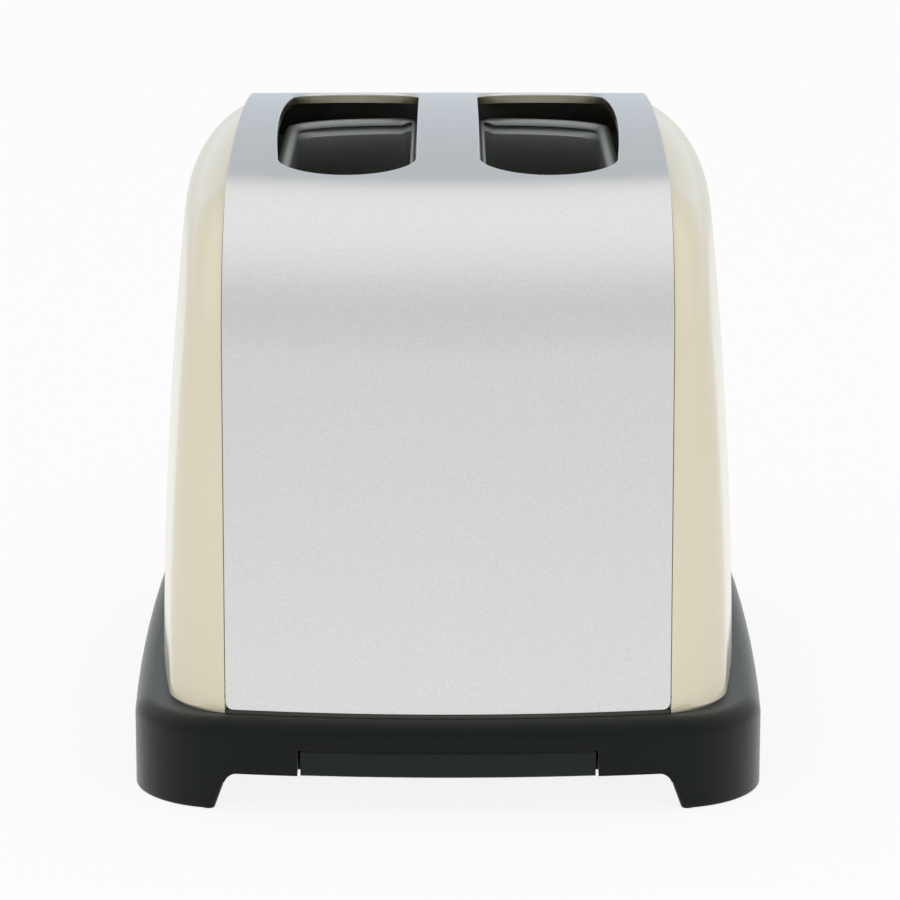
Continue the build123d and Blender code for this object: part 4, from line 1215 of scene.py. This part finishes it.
@dataclass
class SlotLiner:
    """The steel collar inside a slot: a rolled bead round its mouth, an undercut, a funnel and a wall below."""

    centre: float = 31.3
    half_width: float = 19.1
    half_length: float = 80.2
    inner_corner: Pair = (4.0, 4.0)
    outer_corner: Pair = (34.0, 16.0)
    corner_points: int = 28
    top: float = 176.0
    low: float = 150.0
    bead: Pair = (0.8, 2.2)
    bead_turn: Pair = (178.0, -60.0)
    bead_rows: int = 30
    steps: tuple[Pair, ...] = ((1.8, 0.05), (1.2, 0.85), (-0.8, 2.8), (-0.8, 3.2))
    side_wall: float = 0.7
    upward: float = 0.5
    wall: float = 0.5

    def path(self) -> tuple[Array, Array]:
        """The mouth's plan, anticlockwise: a rectangle whose corners are quarter ellipses.

        Returns:
            The points, and the direction straight out of the mouth at each.
        """
        near = self.centre - self.half_width
        far = self.centre + self.half_width
        corners = (
            (far, -1, self.outer_corner, -90.0),
            (far, 1, self.outer_corner, 0.0),
            (near, 1, self.inner_corner, 90.0),
            (near, -1, self.inner_corner, 180.0),
        )
        points, ways = [], []
        for x, side, (wide, long), start in corners:
            turn = np.radians(np.linspace(start, start + 90.0, self.corner_points))
            middle_x = x - math.copysign(wide, x - self.centre)
            middle_y = side * (self.half_length - long)
            points.append(coords(middle_x + wide * np.cos(turn), middle_y + long * np.sin(turn)))
            way = coords(np.cos(turn) / wide, np.sin(turn) / long)
            ways.append(way / np.linalg.norm(way, axis=1)[:, None])
        return np.concatenate(points), np.concatenate(ways)

    def surface(self) -> Surface:
        """The profile carried round the mouth: over the bead, in under it and down the funnel and the wall.

        The bead is smaller along the inner side. With w the share of the way out that points along the
        slot, the wall stands at its step's place by w^2 and at the side wall's by the rest.

        Returns:
            The right-hand collar's surface.
        """
        path, ways = self.path()
        inner = np.clip(-ways[:, 0], 0.0, 1.0)
        bead = self.bead[1] + (self.bead[0] - self.bead[1]) * inner**2 * (3.0 - 2.0 * inner)
        turn = np.radians(np.linspace(self.bead_turn[1], self.bead_turn[0], self.bead_rows))[:, None]
        rise = self.top - bead + bead * np.sin(turn)
        steps = np.array(self.steps)[..., None] * np.ones(len(path))
        steps[-2:, 0] = self.side_wall + (steps[-2:, 0] - self.side_wall) * ways[:, 1] ** 2
        outs = np.concatenate([bead * (1.0 + np.cos(turn)), steps[:, 0], steps[-1:, 0]])
        rises = np.concatenate([rise, rise[-1] - steps[:, 1], np.full((1, len(path)), self.low)])
        flat = path[None] + outs[..., None] * ways[None]
        points = np.concatenate([flat, rises[..., None]], axis=2).reshape(-1, 3)
        inward = coords(*-np.tile(ways, (len(outs), 1)).T, self.upward)
        return Surface(points, grid_quads(len(outs), len(path), closed=True)).facing(inward)

    def build(self, finish: Material) -> None:
        """Makes both collars.

        Args:
            finish: the collars' finish.
        """
        right = self.surface()
        for name, surface in (("right", right), ("left", right.mirrored())):
            Build(f"liner_{name}", "liner_steel", (f"slot_liner_{name}",), self.wall).make(surface, finish)


@dataclass
class DialMarks:
    """The pale line on the dial's pointer and the ticks printed round the dial."""

    centre_z: float = 48.0
    line_half: float = 0.45
    line_reach: Pair = (2.5, 11.0)
    tick_count: int = 6
    tick_sweep: float = 135.0
    tick_half: float = 0.4
    tick_reach: Pair = (15.4, 17.6)
    lift: float = 0.04

    def strip(self, angle: float, half: float, reach: Pair) -> Array:
        """The four corners of a radial strip in x and z.

        Args:
            angle: its turn from straight up, in degrees.
            half: half its width.
            reach: where it starts and ends from the dial's middle.

        Returns:
            One row of x and z per corner.
        """
        turn = math.radians(angle)
        across = np.array([math.cos(turn), -math.sin(turn)])
        along = np.array([math.sin(turn), math.cos(turn)])
        sides = ((half, reach[0]), (-half, reach[0]), (-half, reach[1]), (half, reach[1]))
        return np.array([0.0, self.centre_z]) + np.array([a * across + b * along for a, b in sides])

    def build(self, pale: Material, dark: Material) -> None:
        """Makes the pointer's line on the dial and the ticks on the sheet.

        Args:
            pale: the line's finish.
            dark: the ticks' finish.
        """
        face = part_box("browning_dial")[1].y / MM - BODY_Y / MM + self.lift
        line = np.insert(self.strip(0.0, self.line_half, self.line_reach), 1, face, axis=1)
        pointer = Build("pointer_line", "pale_plastic", body=Body.DIAL.value)
        pointer.make(Surface(line, np.arange(4)[None]), pale)
        angles = np.linspace(-self.tick_sweep, self.tick_sweep, self.tick_count)
        flat = np.concatenate([self.strip(angle, self.tick_half, self.tick_reach) for angle in angles])
        start = np.insert(flat, 1, WrapBand.shoulder_y, axis=1)
        on_sheet = meet(SKIN.wrap, start, np.tile([0.0, 1.0, 0.0], (len(start), 1))) + [0.0, self.lift, 0.0]
        ticks = Surface(on_sheet, np.arange(len(on_sheet)).reshape(-1, 4))
        Build("dial_ticks", "black_plastic").make(ticks, dark)


# The studio


@dataclass(frozen=True)
class SoftBox:
    """A soft lamp that reflections don't show.

    Attributes:
        name: the lamp's name.
        place: where it hangs, in metres.
        target: the point that it faces.
        size: its width and height.
        power: its power in watts.
    """

    name: str
    place: Triple
    target: Triple
    size: Pair
    power: float

    def build(self) -> None:
        """Hangs the lamp and turns it to its target."""
        light = bpy.data.lights.new(self.name, "AREA")
        light.shape = "RECTANGLE"
        light.size, light.size_y = self.size
        light.energy = self.power
        lamp = bpy.data.objects.new(self.name, light)
        lamp.location = self.place
        way = np.array(self.target) - np.array(self.place)
        flat = math.hypot(way[0], way[1])
        lamp.rotation_euler = (math.atan2(flat, -way[2]), 0.0, math.atan2(way[1], way[0]) - math.pi / 2)
        lamp.visible_glossy = False
        bpy.context.scene.collection.objects.link(lamp)


@dataclass
class Studio:
    """A pale floor, soft light and the camera at the photograph's place."""

    camera_place: Triple = (0.0, -1319.0, 386.0)
    pitch: float = 13.10
    sensor: float = 36.0
    sight: float = 100.0
    focal_pixels: float = 4142.0
    frame_pixels: float = 900.0
    aside_pixels: float = 2.0
    floor_half: float = 30.0
    floor_tone: float = 0.86
    floor_rough: float = 0.9
    floor_glow: float = 0.88
    floor_fade: Pair = (0.37, 1.4)
    floor_far: float = 0.76
    sky: tuple[tuple[float, Triple], ...] = (
        (0.0, (0.80, 0.80, 0.80)),
        (35.0, (0.74, 0.75, 0.76)),
        (62.0, (0.94, 0.94, 0.94)),
        (85.0, (1.0, 1.0, 1.0)),
        (132.0, (1.0, 1.0, 1.0)),
        (148.0, (0.465, 0.485, 0.505)),
        (160.0, (0.495, 0.54, 0.59)),
        (178.0, (0.80, 0.89, 0.975)),
    )
    lamps: tuple[SoftBox, ...] = (
        SoftBox("top_box", (0.0, -0.35, 1.5), (0.0, -0.1, 0.1), (1.8, 1.5), 1.2),
        SoftBox("front_box", (0.0, -2.4, 0.9), (0.0, 0.0, 0.1), (2.6, 1.4), 8.6),
    )

    def camera(self) -> None:
        """The camera: its focal length in pixels sets the lens, and a small shift the object's place aside."""
        lens = bpy.data.cameras.new("camera")
        lens.sensor_width = self.sensor
        lens.lens = self.focal_pixels / self.frame_pixels * lens.sensor_width
        lens.shift_x = self.aside_pixels / self.frame_pixels
        lens.clip_end = self.sight
        camera = bpy.data.objects.new("camera", lens)
        x, y, z = self.camera_place
        camera.location = (x * MM, y * MM + BODY_Y, z * MM)
        camera.rotation_euler = (math.radians(90.0 - self.pitch), 0.0, 0.0)
        bpy.context.scene.collection.objects.link(camera)
        bpy.context.scene.camera = camera

    def world(self) -> None:
        """White to the eye; in reflections and as light, a studio that is darker towards the back.

        Its colour goes by the angle from level in front, over the top, to level behind.
        """
        world = bpy.data.worlds.new("studio")
        bpy.context.scene.world = world
        world.use_nodes = True
        nodes = Nodes(world.node_tree)
        output = nodes.add("ShaderNodeOutputWorld")
        axes = nodes.add("ShaderNodeSeparateXYZ")
        nodes.join(nodes.add("ShaderNodeTexCoord").outputs["Generated"], axes.inputs["Vector"])
        front = nodes.maths("MULTIPLY", axes.outputs["Y"], -1.0)
        turn = nodes.maths("ARCTAN2", axes.outputs["Z"], front)
        ramp = nodes.add("ShaderNodeValToRGB")
        nodes.join(nodes.maths("DIVIDE", turn, math.pi), ramp.inputs["Fac"])
        for _ in self.sky[2:]:
            ramp.color_ramp.elements.new(0.5)
        for stop, (angle, colour) in zip(ramp.color_ramp.elements, self.sky):
            stop.position = angle / 180.0
            stop.color = (*colour, 1.0)
        room = nodes.add("ShaderNodeBackground")
        nodes.join(ramp.outputs["Color"], room.inputs["Color"])
        white = nodes.add("ShaderNodeBackground")
        white.inputs["Color"].default_value = (1.0, 1.0, 1.0, 1.0)
        seen = nodes.add("ShaderNodeLightPath").outputs["Is Camera Ray"]
        nodes.mixed(seen, room.outputs["Background"], white.outputs["Background"], output)

    def floor(self) -> None:
        """A wide pale floor that shows white to the eye, with a soft trace of the shadow."""
        half = self.floor_half
        mesh = bpy.data.meshes.new("floor")
        corners = [(-half, -half, 0.0), (half, -half, 0.0), (half, half, 0.0), (-half, half, 0.0)]
        mesh.from_pydata(corners, [], [(0, 1, 2, 3)])
        floor = bpy.data.objects.new("floor", mesh)
        bpy.context.scene.collection.objects.link(floor)
        graph = Graph("floor_white")
        graph.settle(Base_Color=(*[self.floor_tone] * 3, 1.0), Roughness=self.floor_rough)
        path = graph.add("ShaderNodeLightPath")
        seen = path.outputs["Is Camera Ray"]
        either = graph.maths("MAXIMUM", seen, path.outputs["Is Glossy Ray"])
        # In reflections the floor glows instead of being lit: a painted pool of light, at strength 1 near the
        # object and weaker farther out.
        away = graph.add("ShaderNodeVectorMath", operation="LENGTH")
        graph.join(graph.place(), away.inputs[0])
        fading = graph.ramp(away.outputs["Value"], self.floor_fade, (1.0, self.floor_far))
        glow = graph.add("ShaderNodeEmission")
        graph.join(graph.maths("MAXIMUM", seen, fading), glow.inputs["Strength"])
        share = graph.ramp(either, FULL_SPAN, (0.0, self.floor_glow))
        graph.mixed(share, graph.shader.outputs["BSDF"], glow.outputs["Emission"], graph.output)
        mesh.materials.append(graph.material)

    def build(self) -> None:
        """Sets the whole studio."""
        bpy.context.scene.view_settings.view_transform = "Standard"
        self.camera()
        self.world()
        self.floor()
        for lamp in self.lamps:
            lamp.build()


def main() -> None:
    """Builds the toaster's pieces in order, then the studio."""
    logging.basicConfig(level=logging.INFO, format="%(message)s")
    finishes = {finish.value.name: finish.value.material() for finish in Finish}
    dress_nodes(finishes)
    # The slot flanges take a darker, warmer finish than the sheet: a painted reflection.
    WrapBand().build(finishes["satin_steel"], finishes["flange_painted_reflection"])
    # The sills take a lighter, warmer copy of the black plastic: painted light.
    BandSill().build(finishes["sill_painted_light"])
    LegRoots().build(finishes["black_plastic"])
    SidePanel().build(finishes["cream_gloss"])
    SlotLiner().build(finishes["liner_steel"])
    DialMarks().build(finishes["pale_plastic"], finishes["component_black"])
    Studio().build()


if __name__ == "__main__":
    main()
